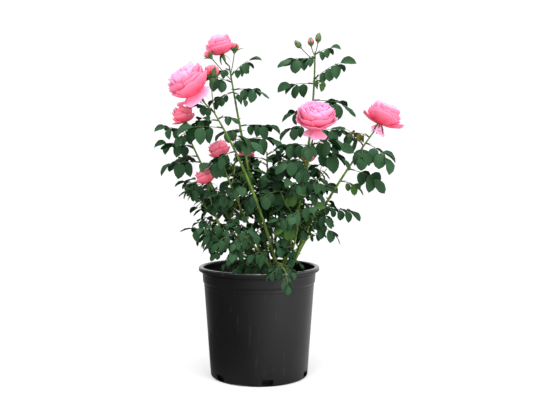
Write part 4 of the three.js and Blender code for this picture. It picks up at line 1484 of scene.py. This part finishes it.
for number, (at, face, size, owner, share) in enumerate(BUDS):
    place = seated(at, *face)
    pedicel(at, face, owner, share, BUD_STALK)
    radius = BALL * size * (1.0 if size > SMALL_BUD else 0.86)
    hip(place, 0.22 * size)
    for ring, (count, girth_share, tall_share) in enumerate(BUD_WHORLS):
        for k in range(count):
            key = (BUD_KEYS + number, 10 * ring + k)
            turn = 2 * math.pi * (k + 0.5) / count + 0.9 * ring
            rows = petal(radius, turn, girth_share, 1.25 * tall_share, 138, 1.25, 0.12, 0, key)
            bud_sheets.add(rows, place)
    closed = size < CLOSED_BUD
    long = size * (1.08 if size < SMALL_BUD else 0.86 if closed else 0.8)
    wide = size * (0.62 if closed else 0.42)
    for k in range(SEPALS):
        lean = 62 if closed else vary(30, 58, BUD_KEYS + number, k, 7)
        curl = 34 if closed else vary(-30, 20, BUD_KEYS + number, k, 8)
        sepal_sheets.add(sepal(2 * math.pi * k / SEPALS, 0.2 * size, long, wide, lean, curl), place)

petal_piece("bud_petals", bud_sheets, PETAL_CORAL, [f"foliage_{owner}" for owner in BUD_OWNERS])
flower_stems = grown(
    "flower_stems", sweep, flower_stalks.lines("flower_stalk_lines"),
    Sides=8, Roughness=0.0003, Grain=400.0, Finish=stalk_skin,
)
sepal_skin, tree, shader = finish("sepal_skin", (0.04, 0.13, 0.03), Roughness=0.55)
flush = mottled(tree, 120, 0.4, 0.62)
painted(tree, shader, flush, (0.03, 0.12, 0.03), (0.09, 0.16, 0.045))
relief(tree, shader, flush, 0.25, 0.0004)
bloom_nodes = [name for name in nodes if name.startswith("bloom_")]
hips = piece_of("hips", hip_sheets.mesh("hips"))
sepals = piece_of("sepals", sepal_sheets.mesh("sepals"))
for piece in (hips, sepals):
    piece.data.materials.append(sepal_skin)
thickened(sepals, SEPAL_THICK, 0)
for piece in (flower_stems, hips, sepals):
    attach(piece, "root")
    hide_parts(*bloom_nodes)

# ------------------------------------------------------------------ studio: floor, camera and light
# A plain white floor, a longish lens level with the lower blooms and looking slightly down, and
# the soft light of a white room with a broad lamp on each side and one above.
FLOOR_RADIUS = 0.45
FLOOR_THICK = 0.004
CAMERA_AT = (0.0172, -1.75, 0.481)
CAMERA_DOWN = 3.146
CAMERA_LENS = 50.99
outline = [(0, -FLOOR_THICK), (FLOOR_RADIUS, -FLOOR_THICK), (FLOOR_RADIUS, 0), (0, 0)]
floor_mesh = turned("studio_floor", outline, 96)
studio_floor = piece_of("studio_floor", floor_mesh)
floor_white, tree, shader = finish("floor_white", (0.97, 0.97, 0.97), Roughness=0.9)
# In reflections only, the floor is painted near black on its left and grey on its right: a painted reflection
# that shades the pot's lower left.
rightward = ramped(tree, coordinates(tree, "Object")["X"], -0.2, 0.2)
reflection_shade = blended(tree, rightward, (0.04, 0.04, 0.04), (0.8, 0.8, 0.8))
seen_in_gloss = put(tree, "ShaderNodeLightPath").outputs["Is Glossy Ray"]
painted(tree, shader, seen_in_gloss, (0.97, 0.97, 0.97), reflection_shade)
floor_mesh.materials.append(floor_white)

camera = piece_of("camera", bpy.data.cameras.new("camera"))
camera.data.sensor_width = 36
camera.data.lens = CAMERA_LENS
camera.location = CAMERA_AT
camera.rotation_euler = Euler((math.radians(90 - CAMERA_DOWN), 0, 0))
scene.camera = camera
scene.view_settings.view_transform = "Standard"
scene.view_settings.look = "None"

world = bpy.data.worlds.new("white_room")
scene.world = world
world.use_nodes = True
tree = world.node_tree
sky = tree.nodes["Background"]
sky.inputs["Strength"].default_value = 1.07
way = coordinates(tree, "Generated")
across = ramped(tree, way["X"], -0.9, 0.6)
front = blended(tree, across, (0.05, 0.05, 0.05), (2, 2, 2))
behind = blended(tree, across, (0.1, 0.1, 0.1), (1, 1, 1))
mirrored = blended(tree, ramped(tree, way["Y"], -0.5, 0.5), front, behind)
wall = maths(tree, "MULTIPLY", ramped(tree, way["Y"], 0.6, 0.9), ramped(tree, way["Z"], 0.02, 0.1))
mirrored = blended(tree, wall, mirrored, (1.1, 1.1, 1.1))
mirrored = blended(tree, ramped(tree, way["Z"], 0.82, 0.96), mirrored, (9, 9, 9))
glossy = put(tree, "ShaderNodeLightPath").outputs["Is Glossy Ray"]
tree.links.new(blended(tree, glossy, (1, 1, 1), mirrored), sky.inputs["Color"])


def softbox(name, place, aim, size, watts):
    """A broad rectangular lamp that looks at a point."""
    lamp = bpy.data.lights.new(name, "AREA")
    lamp.shape = "RECTANGLE"
    lamp.size, lamp.size_y = size
    lamp.energy = watts
    stand = piece_of(name, lamp)
    stand.location = place
    stand.rotation_euler = (Vector(aim) - Vector(place)).to_track_quat("-Z", "Y").to_euler()


softbox("key_light", (-1.0, -1.7, 2.3), (0, 0, 0.45), (1.6, 1.2), 14)
softbox("top_light", (0.1, -0.6, 2.3), (0, 0, 0.3), (0.7, 0.7), 16)
softbox("strip_light", (1.5, -1.5, 0.7), (0, 0, 0.25), (0.35, 1.6), 14)
